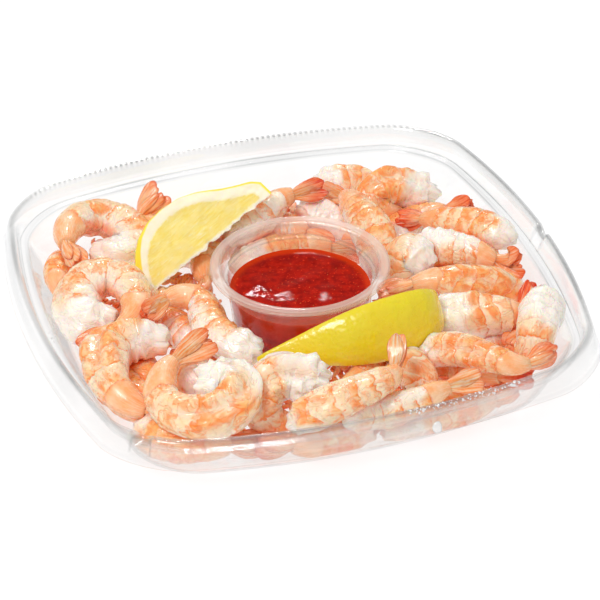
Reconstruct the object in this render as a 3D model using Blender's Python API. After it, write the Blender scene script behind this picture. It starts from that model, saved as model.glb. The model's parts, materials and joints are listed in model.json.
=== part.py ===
# A shrimp cocktail: a clear square party tray with a raised rim, a small clear
# portion cup of red sauce in its middle, two lemon wedges and a heap of peeled,
# cooked, tail-on shrimps that lie round the cup.
# Metres, +Z up, origin at the middle of the tray's underside.

import math

import bmesh
import bpy
import numpy as np

# ---------------------------------------------------------------- driving sizes
TRAY_HALF = 0.113        # half the width of the tray at the middle of a side
WALL = 0.0008            # thickness of the tray's sheet
GAP = 0.0003             # clearance between pieces that touch
CUP_X, CUP_Y = 0.0024, -0.0018
CUP_WALL = 0.0009
CUP_RIM_R = 0.037
CUP_TOP = 0.0362
SAUCE_LEVEL = 0.0236
RING = 32                # points round the tray
CUP_SIDES = 28
SHRIMP_SIDES = 8
FLOOR_TOP = WALL

# Rings of the tray's underside, from the floor outward: half width, height,
# corner radius and side bulge, all as shares of TRAY_HALF.
TRAY_RINGS = (
    (0.720, 0.000, 0.120, 0.085),
    (0.786, 0.006, 0.140, 0.090),
    (0.822, 0.030, 0.155, 0.093),
    (0.843, 0.070, 0.165, 0.095),
    (0.896, 0.188, 0.196, 0.096),
    (0.904, 0.201, 0.199, 0.099),
    (0.938, 0.203, 0.195, 0.112),
    (0.954, 0.258, 0.187, 0.124),
    (0.966, 0.277, 0.185, 0.126),
    (0.978, 0.268, 0.186, 0.126),
    (0.988, 0.196, 0.190, 0.125),
    (1.000, 0.180, 0.192, 0.125),
)

# The heap is laid out as it looks from one standing point in front of the tray:
# turn, height angle and tilt of that look, its distance and the spot it aims at.
# A place in the layout is (across, down) in a square 600 wide, and a height.
LOOK_TURN, LOOK_UP, LOOK_TILT = math.radians(-17.63), math.radians(33.19), math.radians(-0.78)
LOOK_FAR = 12.161 * TRAY_HALF
LOOK_AT = (0.059 * TRAY_HALF, 0.107 * TRAY_HALF, 0.075 * TRAY_HALF)
LOOK_ZOOM = 3281.0


def look_axes():
    ca, sa = math.cos(LOOK_TURN), math.sin(LOOK_TURN)
    ce, se = math.cos(LOOK_UP), math.sin(LOOK_UP)
    back = np.array([sa * ce, -ca * ce, se])
    right = np.array([ca, sa, 0.0])
    up = np.cross(back, right)
    ct, st = math.cos(LOOK_TILT), math.sin(LOOK_TILT)
    return back, ct * right + st * up, -st * right + ct * up


BACK, RIGHT, UPWARD = look_axes()
EYE = BACK * LOOK_FAR + np.array(LOOK_AT)


def spot(across, down, height_mm):
    """The point at this height that lies at this place in the layout."""
    ray = -BACK * LOOK_ZOOM + RIGHT * (across - 300.0) + UPWARD * (300.0 - down)
    z = height_mm * 0.001
    return EYE + ray * ((z - EYE[2]) / ray[2])


# ---------------------------------------------------------------- the shrimps
# Each: girth (largest radius, mm), turn of its back about its own line
# (degrees), then the places its middle line passes, from the cut end to the
# tip of the tail: (across, down, height in mm).
SHRIMPS = {
    "shrimp_01": (7.2, 0, ((106, 256, 12), (129, 252, 14), (134, 236, 17), (112, 222, 18), (86, 222, 19), (68, 236, 20), (66, 254, 21), (78, 272, 22))),
    "shrimp_02": (6.2, 0, ((74, 254, 14), (56, 258, 18), (47, 271, 19), (49, 287, 18), (62, 300, 14), (84, 307, 9))),
    "shrimp_03": (6.6, 0, ((188, 252, 8), (178, 236, 9), (158, 228, 10), (141, 215, 14), (161, 189, 23))),
    "shrimp_04": (7.2, 0, ((98, 325, 16), (78, 320, 17), (72, 301, 18), (90, 285, 20), (114, 281, 21), (131, 295, 21), (131, 313, 21), (114, 329, 20), (71, 350, 14))),
    "shrimp_05": (7.6, 0, ((160, 352, 17), (134, 350, 18), (110, 362, 18), (109, 386, 17), (124, 410, 14), (152, 424, 11), (182, 424, 8))),
    "shrimp_06": (7.4, 0, ((248, 358, 15), (226, 350, 17), (206, 328, 19), (203, 306, 22), (188, 296, 24), (168, 298, 25), (143, 318, 24))),
    "shrimp_07": (6.8, 0, ((198, 346, 8), (182, 332, 9), (160, 325, 9), (140, 330, 9), (122, 345, 8), (100, 352, 8))),
    "shrimp_08": (7.8, 0, ((214, 382, 27), (236, 386, 26), (239, 404, 24), (214, 418, 22), (184, 415, 22), (163, 398, 24), (164, 374, 28), (178, 356, 30), (213, 337, 34))),
    "shrimp_09": (6.4, 0, ((196, 402, 8), (192, 382, 9), (206, 366, 9), (228, 363, 9), (253, 369, 10))),
    "shrimp_10": (7.8, 0, ((314, 388, 22), (290, 382, 23), (268, 390, 22), (262, 410, 18), (277, 427, 13), (304, 434, 9), (335, 438, 7))),
    "shrimp_11": (7.2, 0, ((300, 416, 17), (325, 416, 19), (352, 407, 21), (378, 393, 23), (392, 371, 26), (402, 333, 40))),
    "shrimp_12": (6.4, 0, ((446, 341, 8), (426, 351, 9), (404, 361, 11), (382, 371, 15), (357, 383, 19), (314, 402, 21))),
    "shrimp_13": (7.6, 0, ((444, 325, 16), (470, 322, 19), (498, 318, 21), (521, 320, 19), (525, 337, 15), (506, 351, 11))),
    "shrimp_14": (7.2, 0, ((524, 302, 17), (508, 289, 21), (482, 282, 24), (452, 280, 24), (424, 284, 22), (386, 298, 17))),
    "shrimp_15": (7.0, 0, ((434, 351, 19), (458, 349, 23), (484, 357, 24), (508, 366, 24), (528, 367, 23), (557, 355, 24))),
    "shrimp_16": (6.6, 0, ((416, 366, 8), (440, 369, 10), (466, 373, 12), (492, 378, 14), (514, 382, 15), (538, 380, 17))),
    "shrimp_17": (7.0, 0, ((411, 356, 19), (420, 371, 20), (430, 387, 17), (424, 404, 10), (402, 411, 8), (376, 413, 8))),
    "shrimp_18": (6.8, 0, ((352, 428, 8), (380, 420, 9), (408, 411, 12), (430, 402, 15), (447, 392, 18), (483, 379, 21))),
    "shrimp_19": (8.0, 0, ((552, 312, 20), (552, 334, 20), (540, 352, 16), (518, 356, 11), (500, 350, 8))),
    "shrimp_20": (6.4, 0, ((476, 350, 8), (500, 343, 9), (520, 331, 11), (534, 312, 15), (537, 282, 25))),
    "shrimp_21": (7.2, 0, ((424, 196, 15), (404, 190, 17), (382, 190, 17), (369, 200, 15), (382, 211, 12), (406, 214, 9), (432, 218, 8))),
    "shrimp_22": (7.0, 0, ((506, 255, 16), (492, 243, 19), (466, 232, 21), (438, 224, 21), (394, 216, 18))),
    "shrimp_23": (7.6, 0, ((424, 250, 16), (450, 250, 18), (478, 254, 18), (498, 263, 16), (507, 270, 14), (526, 263, 18))),
    "shrimp_24": (7.0, 0, ((428, 263, 16), (414, 256, 17), (403, 268, 15), (410, 284, 11), (432, 291, 8), (462, 297, 8))),
    "shrimp_25": (7.8, 0, ((384, 268, 12), (381, 248, 16), (372, 230, 19), (356, 214, 19), (340, 203, 18), (316, 200, 15))),
    "shrimp_26": (6.8, 0, ((230, 240, 9), (248, 230, 11), (268, 214, 16), (286, 197, 21), (327, 189, 23))),
    "shrimp_27": (7.0, 0, ((326, 192, 11), (344, 188, 13), (362, 191, 12), (370, 204, 9), (354, 216, 8), (330, 220, 8))),
    "shrimp_28": (6.6, 0, ((216, 228, 8), (206, 248, 10), (203, 268, 11), (206, 288, 9), (192, 300, 8))),
    "shrimp_29": (7.0, 0, ((314, 210, 13), (334, 216, 13), (352, 229, 11), (364, 246, 9), (376, 262, 8))),
    "shrimp_30": (6.6, 0, ((262, 236, 9), (286, 232, 9), (312, 236, 9), (334, 248, 8))),
    "shrimp_31": (6.4, 0, ((404, 242, 8), (412, 226, 8), (436, 214, 11), (458, 210, 13), (478, 204, 16))),
    "shrimp_32": (7.0, 0, ((146, 430, 7), (168, 441, 7), (200, 447, 7), (232, 447, 7), (264, 440, 8))),
    "shrimp_33": (7.0, 0, ((388, 434, 7), (352, 443, 7), (316, 448, 7), (280, 447, 8), (258, 440, 9))),
    "shrimp_34": (7.0, 0, ((396, 432, 7), (430, 426, 7), (466, 417, 7), (500, 404, 7), (524, 389, 8))),
    "shrimp_35": (6.6, 0, ((470, 240, 8), (490, 252, 8), (504, 270, 8), (514, 292, 8))),
    "shrimp_36": (6.4, 0, ((204, 236, 8), (222, 227, 9), (246, 219, 8), (270, 215, 8), (288, 217, 7))),
    "shrimp_37": (6.4, 0, ((126, 364, 8), (140, 379, 8), (160, 384, 8), (176, 373, 8), (168, 358, 8))),
    "shrimp_38": (6.2, 0, ((434, 248, 8), (446, 262, 8), (462, 272, 8), (484, 276, 8), (500, 288, 8))),
    "shrimp_39": (6.0, 0, ((128, 306, 7), (148, 304, 7), (168, 300, 7), (186, 290, 7), (196, 276, 7))),
    "shrimp_40": (6.2, 0, ((246, 266, 7), (271, 255, 7), (301, 250, 7), (335, 249, 7), (364, 254, 7))),
    "shrimp_41": (6.2, 0, ((113, 384, 7), (136, 400, 7), (168, 406, 7), (196, 398, 7), (204, 381, 7))),
    "shrimp_42": (6.2, 0, ((398, 270, 7), (423, 276, 7), (444, 288, 7), (450, 303, 7), (442, 318, 7))),
}


def guide_line(points, count):
    """Evenly spaced points on a smooth line through these ones."""
    p = np.array([spot(*q) for q in points])
    p = np.vstack([2 * p[0] - p[1], p, 2 * p[-1] - p[-2]])
    fine = []
    for i in range(1, len(p) - 2):
        a, b, c, d = p[i - 1], p[i], p[i + 1], p[i + 2]
        for t in np.linspace(0, 1, 24, endpoint=False):
            fine.append(0.5 * (2 * b + (c - a) * t + (2 * a - 5 * b + 4 * c - d) * t * t + (3 * b - a - 3 * c + d) * t ** 3))
    fine.append(p[-2])
    fine = np.array(fine)
    for _ in range(30):
        fine[1:-1] += 0.25 * (fine[:-2] + fine[2:] - 2 * fine[1:-1])
    run = np.concatenate([[0], np.cumsum(np.linalg.norm(np.diff(fine, axis=0), axis=1))])
    at = np.linspace(0, run[-1], count)
    return np.stack([np.interp(at, run, fine[:, k]) for k in range(3)], axis=1), run[-1]


# Half height (back to belly) and half width of a shrimp along its length, as
# shares of its girth. The tail fan starts at 0.80.
BODY_U = (0.00, 0.06, 0.17, 0.33, 0.48, 0.62, 0.74, 0.80, 0.91, 1.00)
BODY_H = (0.70, 0.93, 1.02, 1.00, 0.94, 0.82, 0.60, 0.43, 0.26, 0.11)
BODY_W = (0.64, 0.85, 0.95, 0.94, 0.87, 0.75, 0.55, 0.44, 0.55, 0.42)


def half_height(u):
    return np.interp(u, BODY_U, BODY_H)


def half_width(u):
    return np.interp(u, BODY_U, BODY_W)


def frames(line):
    """Tangent, back (dorsal) and side direction at each point of a line."""
    t = np.gradient(line, axis=0)
    t /= np.linalg.norm(t, axis=1)[:, None]
    bend = np.gradient(t, axis=0)
    normal = np.cross(t, bend).sum(axis=0)
    if np.linalg.norm(normal) < 1e-9:
        normal = np.array([0.0, 0.0, 1.0])
    normal /= np.linalg.norm(normal)
    side = normal - t * (t @ normal)[:, None]
    side /= np.linalg.norm(side, axis=1)[:, None]
    back = np.cross(t, side)
    if (back * bend).sum() > 0:
        back = -back
    return t, back, side


def tray_half(z):
    """Half width of the well's inner wall at a height."""
    zs = np.array([r[1] for r in TRAY_RINGS[:6]]) * TRAY_HALF + WALL
    hs = np.array([r[0] for r in TRAY_RINGS[:6]]) * TRAY_HALF - WALL
    return np.interp(z, zs, hs)


def cup_radius(z):
    return np.interp(z, [c[1] for c in CUP_OUT], [c[0] for c in CUP_OUT])


CUP_BASE = FLOOR_TOP + GAP
CUP_OUT = (
    (0.0262, CUP_BASE),
    (0.0276, CUP_BASE + 0.0014),
    (0.0303, 0.0286),
    (0.0320, 0.0298),
    (0.0331, 0.0338),
    (0.0369, 0.0345),
    (CUP_RIM_R, CUP_TOP - 0.0004),
)


# Lemon wedges: the two ends of the straight inner edge (places in the layout
# with heights), the direction the middle of the rind faces, the opening angle
# and the largest radius.
LEMONS = {
    "lemon_wedge_back": ((148, 298, 14), (272, 193, 36), (-0.404, 0.914, -0.036), 62.0, 0.0268),
    "lemon_wedge_front": ((256, 359, 21), (425, 307, 22), (-0.28, -0.86, 0.40), 60.0, 0.0262),
}
# Radius of the fruit along its length, as shares: one end is blunt, the other
# draws out into a nub. The front wedge has its blunt end trimmed flat.
LEMON_ALONG = {
    "lemon_wedge_back": ((0.0, 0.03, 0.08, 0.14, 0.22, 0.33, 0.46, 0.57, 0.68, 0.80, 0.89, 0.96, 1.0), (0.10, 0.32, 0.52, 0.70, 0.86, 0.97, 1.0, 0.96, 0.83, 0.60, 0.47, 0.38, 0.26)),
    "lemon_wedge_front": ((0.0, 0.03, 0.09, 0.18, 0.30, 0.42, 0.54, 0.66, 0.78, 0.88, 0.95, 0.985, 1.0), (0.06, 0.16, 0.27, 0.43, 0.66, 0.85, 0.96, 1.0, 0.98, 0.90, 0.78, 0.68, 0.62)),
}


def lemon_frame(name):
    a, b, rind, opening, radius = LEMONS[name]
    p, q = spot(*a), spot(*b)
    axis = (q - p) / np.linalg.norm(q - p)
    out = np.array(rind) - axis * (np.array(rind) @ axis)
    out /= np.linalg.norm(out)
    return p, q, axis, out, np.cross(axis, out), math.radians(opening), radius


def lemon_radius(name, s):
    """Radius of the whole fruit at a share of its length."""
    at, shares = LEMON_ALONG[name]
    return LEMONS[name][4] * float(np.interp(s, at, shares))


def lemon_balls(name):
    """A wedge as a set of balls, for keeping the shrimps clear of it."""
    p, q, axis, out, side, opening, radius = lemon_frame(name)
    balls = []
    for s in np.linspace(0.03, 0.97, 17):
        here = lemon_radius(name, s)
        for depth in (0.45, 0.80):
            fit = min(here * (1 - depth) + 0.0005, here * depth * math.sin(opening / 2))
            fit = max(fit, 0.0012)
            reach = max(opening / 2 - math.asin(min(0.95, fit / max(here * depth, 1e-5))), 0.0)
            for turn in (-reach, 0.0, reach):
                balls.append((p + axis * (s * np.linalg.norm(q - p)) + here * depth * (math.cos(turn) * out + math.sin(turn) * side), fit))
    return balls


# ---------------------------------------------------------------- settling
FULL = 1.18              # the girths below are of the firm core: the flesh is this much fuller
PRESS = 0.86             # how far neighbours press in: share of the radius that holds them apart
CLEAR = 0.0004           # air kept between neighbours while the heap settles
SLACK = 0.0009           # and before one is pressed in by another
STATIONS = 13
FAN_FROM = 10            # stations from here on are the fan: two small balls each


def square_reach(xy, bulge):
    """Distance of points from the middle, measured in rounded squares with bulging sides (1 = on a square of half width 1)."""
    x, y = np.abs(xy[:, 0]), np.abs(xy[:, 1])
    big, small = np.maximum(x, y), np.minimum(x, y)
    flat = big / (1 - bulge * np.clip(small / np.maximum(big, 1e-9), 0, 1) ** 2)
    soft = (x ** 4 + y ** 4) ** 0.25
    return np.maximum(flat * 0.985, soft)


def gather(index, vectors, count):
    return np.stack([np.bincount(index, vectors[:, k], count) for k in range(3)], axis=1)


def rigid(a, b):
    """The turn and the two middles that carry points a onto b."""
    ca, cb = a.mean(axis=0), b.mean(axis=0)
    u, _, v = np.linalg.svd((a - ca).T @ (b - cb))
    fix = np.diag([1.0, 1.0, np.sign(np.linalg.det(u @ v))])
    return u @ fix @ v, ca, cb


def settle():
    """Rest places of the shrimps: each keeps its shape and its look from the front, and is slid clear of its neighbours, the tray, the cup and the lemons."""
    names = list(SHRIMPS)
    balls, radii, owner, lines = [], [], [], []
    for k, name in enumerate(names):
        girth, turn, places = SHRIMPS[name]
        line, length = guide_line(places, STATIONS)
        t, back, side = frames(line)
        lines.append(line)
        for i in range(STATIONS):
            u = i / (STATIONS - 1)
            if i < FAN_FROM:
                balls.append(line[i]); radii.append(girth * 0.001 * FULL * PRESS * float(half_height(u))); owner.append(k)
            else:
                r = girth * 0.001 * FULL * max(0.24, float(half_height(u)))
                off = max(girth * 0.001 * FULL * float(half_width(u)) - r, 0.0)
                for s in (-1, 1):
                    balls.append(line[i] + side[i] * off * s); radii.append(r); owner.append(k)
    balls, radii, owner = np.array(balls), np.array(radii), np.array(owner)
    fixed = [b for name in LEMONS for b in lemon_balls(name)]
    still, still_r = np.array([b[0] for b in fixed]), np.array([b[1] for b in fixed])
    start, count = balls.copy(), len(balls)
    groups = [np.nonzero(owner == k)[0] for k in range(len(names))]
    ray = start - EYE
    ray /= np.linalg.norm(ray, axis=1)[:, None]
    for step in range(480):
        if step % 20 == 0:          # who is near whom
            d2 = ((balls[:, None, :] - balls[None, :, :]) ** 2).sum(axis=2)
            reach = radii[:, None] + radii[None, :] + 0.006
            i, j = np.nonzero((d2 < reach ** 2) & (owner[:, None] != owner[None, :]))
            d2 = ((balls[:, None, :] - still[None, :, :]) ** 2).sum(axis=2)
            m, f = np.nonzero(d2 < (radii[:, None] + still_r[None, :] + 0.006) ** 2)
        ease = 0.16 if step < 360 else 0.16 * (1 - (step - 360) / 120.0)
        gap = balls[i] - balls[j]
        dist = np.sqrt((gap ** 2).sum(axis=1)) + 1e-9
        over = np.clip(radii[i] + radii[j] + CLEAR - dist, 0, None)
        move = gather(i, gap / dist[:, None] * (over * 0.5)[:, None], count) / np.maximum(np.bincount(i, over > 0, count), 1)[:, None] * 1.25
        gap = balls[m] - still[f]
        dist = np.sqrt((gap ** 2).sum(axis=1)) + 1e-9
        over = np.clip(radii[m] + still_r[f] + CLEAR - dist, 0, None)
        move += gather(m, gap / dist[:, None] * over[:, None], count) / np.maximum(np.bincount(m, over > 0, count), 1)[:, None]
        move[:, 2] += np.clip(FLOOR_TOP + 0.0006 + radii - balls[:, 2], 0, None)
        # the well's wall
        limit = tray_half(balls[:, 2] - radii * 0.4) - radii * 1.07 - 0.0016
        past = np.clip(square_reach(balls[:, :2], 0.10) - limit, 0, None)
        move[:, :2] -= balls[:, :2] / np.maximum(np.linalg.norm(balls[:, :2], axis=1), 1e-6)[:, None] * past[:, None]
        # the cup
        rel = balls[:, :2] - np.array([CUP_X, CUP_Y])
        away = np.linalg.norm(rel, axis=1) + 1e-9
        wide = np.maximum(cup_radius(balls[:, 2] + radii * 0.7), cup_radius(balls[:, 2] - radii * 0.7))
        past = np.clip(wide + radii + 0.0009 - away, 0, None)
        move[:, :2] += rel / away[:, None] * past[:, None]
        # each shrimp tends back to its place, most of all across the look
        home = start - balls
        along = (home * ray).sum(axis=1)[:, None] * ray
        move += ease * (home - along) + 0.10 * ease * along
        for mine in groups:
            turn, ca, cb = rigid(balls[mine], balls[mine] + move[mine])
            balls[mine] = (balls[mine] - ca) @ turn + cb
    settled = {}
    for name, line, mine in zip(names, lines, groups):
        turn, ca, cb = rigid(start[mine], balls[mine])
        settled[name] = np.round((line - ca) @ turn + cb, 5)
    return settled


def finer(line, count):
    """The settled line with more points, along a smooth curve."""
    p = np.vstack([2 * line[0] - line[1], line, 2 * line[-1] - line[-2]])
    at = np.linspace(0, len(line) - 1, count)
    i = np.minimum(at.astype(int), len(line) - 2)
    t = (at - i)[:, None]
    a, b, c, d = p[i], p[i + 1], p[i + 2], p[i + 3]
    return 0.5 * (2 * b + (c - a) * t + (2 * a - 5 * b + 4 * c - d) * t * t + (3 * b - a - 3 * c + d) * t ** 3)


def slim(lines):
    """How much each shrimp is pressed in along its length where a neighbour still leans on it: shares of its own section, at 49 points."""
    count = 49
    u = np.linspace(0, 1, count)
    balls, radii, share = {}, {}, {}
    for name, line in lines.items():
        fine = finer(line, count)
        _, back, side = frames(fine)
        girth = SHRIMPS[name][0] * 0.001 * FULL
        h, w = girth * half_height(u), girth * half_width(u)
        off = np.where((h > w)[:, None], back, side) * np.abs(h - w)[:, None]
        balls[name] = np.vstack([fine - off, fine, fine + off])
        radii[name] = np.tile(np.minimum(h, w), 3)
        share[name] = np.ones(count)
    fixed = [b for name in LEMONS for b in lemon_balls(name)]
    still, still_r = np.array([b[0] for b in fixed]), np.array([b[1] for b in fixed])
    names = list(lines)
    apart = {}
    for i, a in enumerate(names):
        for b in names[i + 1:]:
            if np.linalg.norm(balls[a].mean(axis=0) - balls[b].mean(axis=0)) < 0.11:
                d = np.sqrt(((balls[a][:, None, :] - balls[b][None, :, :]) ** 2).sum(axis=2))
                if (d - radii[a][:, None] - radii[b][None, :]).min() < SLACK:
                    apart[a, b] = d
    walls = {a: (np.sqrt(((balls[a][:, None, :] - still[None, :, :]) ** 2).sum(axis=2)) - still_r[None, :]).min(axis=1) for a in names}

    def press(name, r, room):
        short = np.where(room < 0, np.clip((r + room) / np.maximum(r, 1e-6), 0.35, 1), 1).reshape(3, count).min(axis=0)
        share[name] *= short

    for _ in range(10):
        for (a, b), d in apart.items():
            ra, rb = radii[a] * np.tile(share[a], 3), radii[b] * np.tile(share[b], 3)
            room = d - ra[:, None] - rb[None, :] - SLACK
            press(a, ra, room.min(axis=1) * 0.55)
            press(b, rb, room.min(axis=0) * 0.55)
        for a in names:
            ra = radii[a] * np.tile(share[a], 3)
            press(a, ra, walls[a] - ra - SLACK)
    return {name: np.clip(s, 0.3, 1) for name, s in share.items()}


# ---------------------------------------------------------------- making
def clear_scene():
    for obj in list(bpy.data.objects):
        bpy.data.objects.remove(obj, do_unlink=True)
    for mesh in list(bpy.data.meshes):
        bpy.data.meshes.remove(mesh)


def material(name, colour, roughness, metallic=0.0, see_through=0.0):
    mat = bpy.data.materials.new(name)
    mat.use_nodes = True
    shader = mat.node_tree.nodes["Principled BSDF"]
    shader.inputs["Base Color"].default_value = (*colour, 1.0)
    shader.inputs["Roughness"].default_value = roughness
    shader.inputs["Metallic"].default_value = metallic
    shader.inputs["Transmission Weight"].default_value = see_through
    return mat


def add_mesh(name, verts, faces, mat, smooth=35.0):
    mesh = bpy.data.meshes.new(name)
    mesh.from_pydata([tuple(map(float, v)) for v in verts], [], [tuple(map(int, f)) for f in faces])
    bm = bmesh.new()
    bm.from_mesh(mesh)
    bmesh.ops.recalc_face_normals(bm, faces=bm.faces)
    bm.to_mesh(mesh)
    bm.free()
    mesh.shade_smooth()
    mesh.set_sharp_from_angle(angle=math.radians(smooth))
    mesh.materials.append(mat)
    obj = bpy.data.objects.new(name, mesh)
    bpy.context.scene.collection.objects.link(obj)
    return obj


def square_ring(half, corner, bulge, count):
    """Points round a square with round corners and bulging sides, anticlockwise."""
    inner = half - bulge
    per = count // 8
    points = []
    for k in range(4):
        turn = k * math.pi / 2
        for i in range(per):            # round the corner
            a = (i + 0.5) / per * math.pi / 2
            points.append(_turned(inner - corner + corner * math.cos(a), inner - corner + corner * math.sin(a), turn))
        for i in range(per):            # along the side to the next corner
            t = (i + 0.5) / per
            points.append(_turned((inner - corner) * (1 - 2 * t), inner, turn))
    out = []
    for x, y in points:
        bx = bulge * (1 - min(1, abs(y / inner)) ** 2) * math.copysign(1, x) * min(1, abs(x / inner)) ** 2
        by = bulge * (1 - min(1, abs(x / inner)) ** 2) * math.copysign(1, y) * min(1, abs(y / inner)) ** 2
        out.append((x + bx, y + by))
    return out


def _turned(x, y, a):
    c, s = round(math.cos(a)), round(math.sin(a))
    return (x * c - y * s, x * s + y * c)


def lathe_faces(rings, count, first, last):
    """Faces between rings of points, closing the ends by a cap where asked."""
    faces = []
    for r in range(rings - 1):
        for i in range(count):
            j = (i + 1) % count
            faces.append((r * count + i, r * count + j, (r + 1) * count + j, (r + 1) * count + i))
    if first:
        faces.append(tuple(range(count)))
    if last:
        faces.append(tuple((rings - 1) * count + i for i in range(count)))
    return faces


def make_tray(mat):
    under, over = [], []
    profile = [(h * TRAY_HALF, z * TRAY_HALF) for h, z, _, _ in TRAY_RINGS]
    for k, (half, z, corner, bulge) in enumerate(TRAY_RINGS):
        before, after = profile[max(k - 1, 0)], profile[min(k + 1, len(profile) - 1)]
        dx, dz = after[0] - before[0], after[1] - before[1]
        size = math.hypot(dx, dz)
        nx, nz = -dz / size * WALL, dx / size * WALL
        if k == 0:
            nx, nz = 0.0, WALL
        c, b = corner * TRAY_HALF, bulge * TRAY_HALF
        under.append([(x, y, profile[k][1]) for x, y in square_ring(profile[k][0], c, b, RING)])
        over.append([(x, y, profile[k][1] + nz) for x, y in square_ring(profile[k][0] + nx, c, b, RING)])
    rings = under + over[::-1]
    verts = [p for ring in rings for p in ring]
    return add_mesh("tray", verts, lathe_faces(len(rings), RING, True, True), mat, 50)


def make_cup(mat):
    inner = [(r - CUP_WALL, z) for r, z in CUP_OUT[1:5]]
    inner = [(0.0262 - CUP_WALL, CUP_BASE + CUP_WALL), (0.0276 - CUP_WALL, CUP_BASE + CUP_WALL + 0.0012)] + inner[1:3] + [(0.0331 - CUP_WALL, 0.0346), (0.0335, CUP_TOP)]
    rings = list(CUP_OUT) + [(CUP_RIM_R - 0.0007, CUP_TOP)] + inner[::-1]
    verts = []
    for r, z in rings:
        for i in range(CUP_SIDES):
            a = 2 * math.pi * i / CUP_SIDES
            verts.append((CUP_X + r * math.cos(a), CUP_Y + r * math.sin(a), z))
    return add_mesh("sauce_cup", verts, lathe_faces(len(rings), CUP_SIDES, True, True), mat, 50)


def sauce_height(x, y):
    """The sauce's uneven top: it climbs a little at the wall and has a low swirl."""
    r = math.hypot(x, y) / 0.0295
    return 0.0006 * r ** 6 + 0.0004 * math.sin(3.1 * x / 0.01 + 1.3 * y / 0.01) * (1 - r) + 0.0003 * math.sin(5.2 * y / 0.01 - 2.0 * x / 0.01) * (1 - r)


def make_sauce(mat):
    def inside(z):
        return float(np.interp(z, [c[1] for c in CUP_OUT], [c[0] for c in CUP_OUT])) - CUP_WALL - 2 * GAP
    low = CUP_BASE + CUP_WALL + GAP
    rings = [(0.0245, low, 0), (inside(low + 0.0024), low + 0.0018, 0), (inside(0.014), 0.014, 0), (inside(SAUCE_LEVEL), SAUCE_LEVEL, 1), (0.021, SAUCE_LEVEL, 1), (0.012, SAUCE_LEVEL, 1), (0.004, SAUCE_LEVEL, 1)]
    verts = []
    for r, z, top in rings:
        for i in range(CUP_SIDES):
            a = 2 * math.pi * i / CUP_SIDES
            x, y = r * math.cos(a), r * math.sin(a)
            verts.append((CUP_X + x, CUP_Y + y, z + (sauce_height(x, y) if top else 0)))
    return add_mesh("cocktail_sauce", verts, lathe_faces(len(rings), CUP_SIDES, True, True), mat, 50)


def make_lemon(name, mat):
    p, q, axis, out, side, opening, radius = lemon_frame(name)
    span = np.linalg.norm(q - p)
    arc = 9
    steps = LEMON_ALONG[name][0]
    verts, faces = [], []
    for s in steps:
        here = lemon_radius(name, s)
        verts.append(p + axis * s * span)
        for j in range(arc):
            turn = opening * (j / (arc - 1) - 0.5)
            soft = 1 - 0.035 * abs(2 * j / (arc - 1) - 1) ** 6
            verts.append(p + axis * s * span + here * soft * (math.cos(turn) * out + math.sin(turn) * side))
    per = arc + 1
    for i in range(len(steps) - 1):
        for j in range(per):
            k = (j + 1) % per
            faces.append((i * per + j, i * per + k, (i + 1) * per + k, (i + 1) * per + j))
    faces.append(tuple(range(per)))
    faces.append(tuple((len(steps) - 1) * per + j for j in range(per)))
    return add_mesh(name, verts, faces, mat, 40)


def make_shrimp(name, line, share, mat):
    girth = SHRIMPS[name][0] * 0.001 * FULL
    count = len(share)
    fine = finer(line, count)
    _, back, side = frames(fine)
    fine_u = np.linspace(0, 1, count)
    verts = []
    for n, u in enumerate(BODY_U):
        at = min(count - 1, max(0, int(round(u * (count - 1)))))
        lo = 0 if n == 0 else int((BODY_U[n - 1] + u) / 2 * (count - 1))
        hi = count - 1 if n == len(BODY_U) - 1 else int(math.ceil((BODY_U[n + 1] + u) / 2 * (count - 1)))
        less = float(share[lo:hi + 1].min())
        h, w = girth * BODY_H[n] * less * 0.97, girth * BODY_W[n] * less * 0.97
        for i in range(SHRIMP_SIDES):
            a = 2 * math.pi * (i + 0.5) / SHRIMP_SIDES
            verts.append(fine[at] + back[at] * h * math.cos(a) + side[at] * w * math.sin(a))
    return add_mesh(name, verts, lathe_faces(len(BODY_U), SHRIMP_SIDES, True, True), mat, 50)


def main():
    clear_scene()
    clear_plastic = material("clear_plastic", (0.93, 0.95, 0.95), 0.06, see_through=0.95)
    frosted = material("cup_plastic", (0.90, 0.88, 0.87), 0.22, see_through=0.85)
    sauce = material("sauce_red", (0.36, 0.010, 0.006), 0.18)
    lemon = material("lemon_yellow", (0.83, 0.68, 0.05), 0.34)
    flesh = material("shrimp_flesh", (0.86, 0.50, 0.32), 0.38)
    make_tray(clear_plastic)
    make_cup(frosted)
    make_sauce(sauce)
    for name in LEMONS:
        make_lemon(name, lemon)
    lines = settle()
    shares = slim(lines)
    for name, line in lines.items():
        make_shrimp(name, line, shares[name], flesh)


main()
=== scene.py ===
# A shrimp cocktail: a clear square party tray with a raised rim, a small
# portion cup of red sauce in its middle, two lemon wedges and a heap of peeled,
# cooked, tail-on shrimps that lie round the cup. This script makes its looks.
# Metres, +Z up, in the same frame as the solids.

import json
import math

import bpy
import numpy as np
from mathutils import Matrix, Vector
from mathutils.bvhtree import BVHTree

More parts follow.
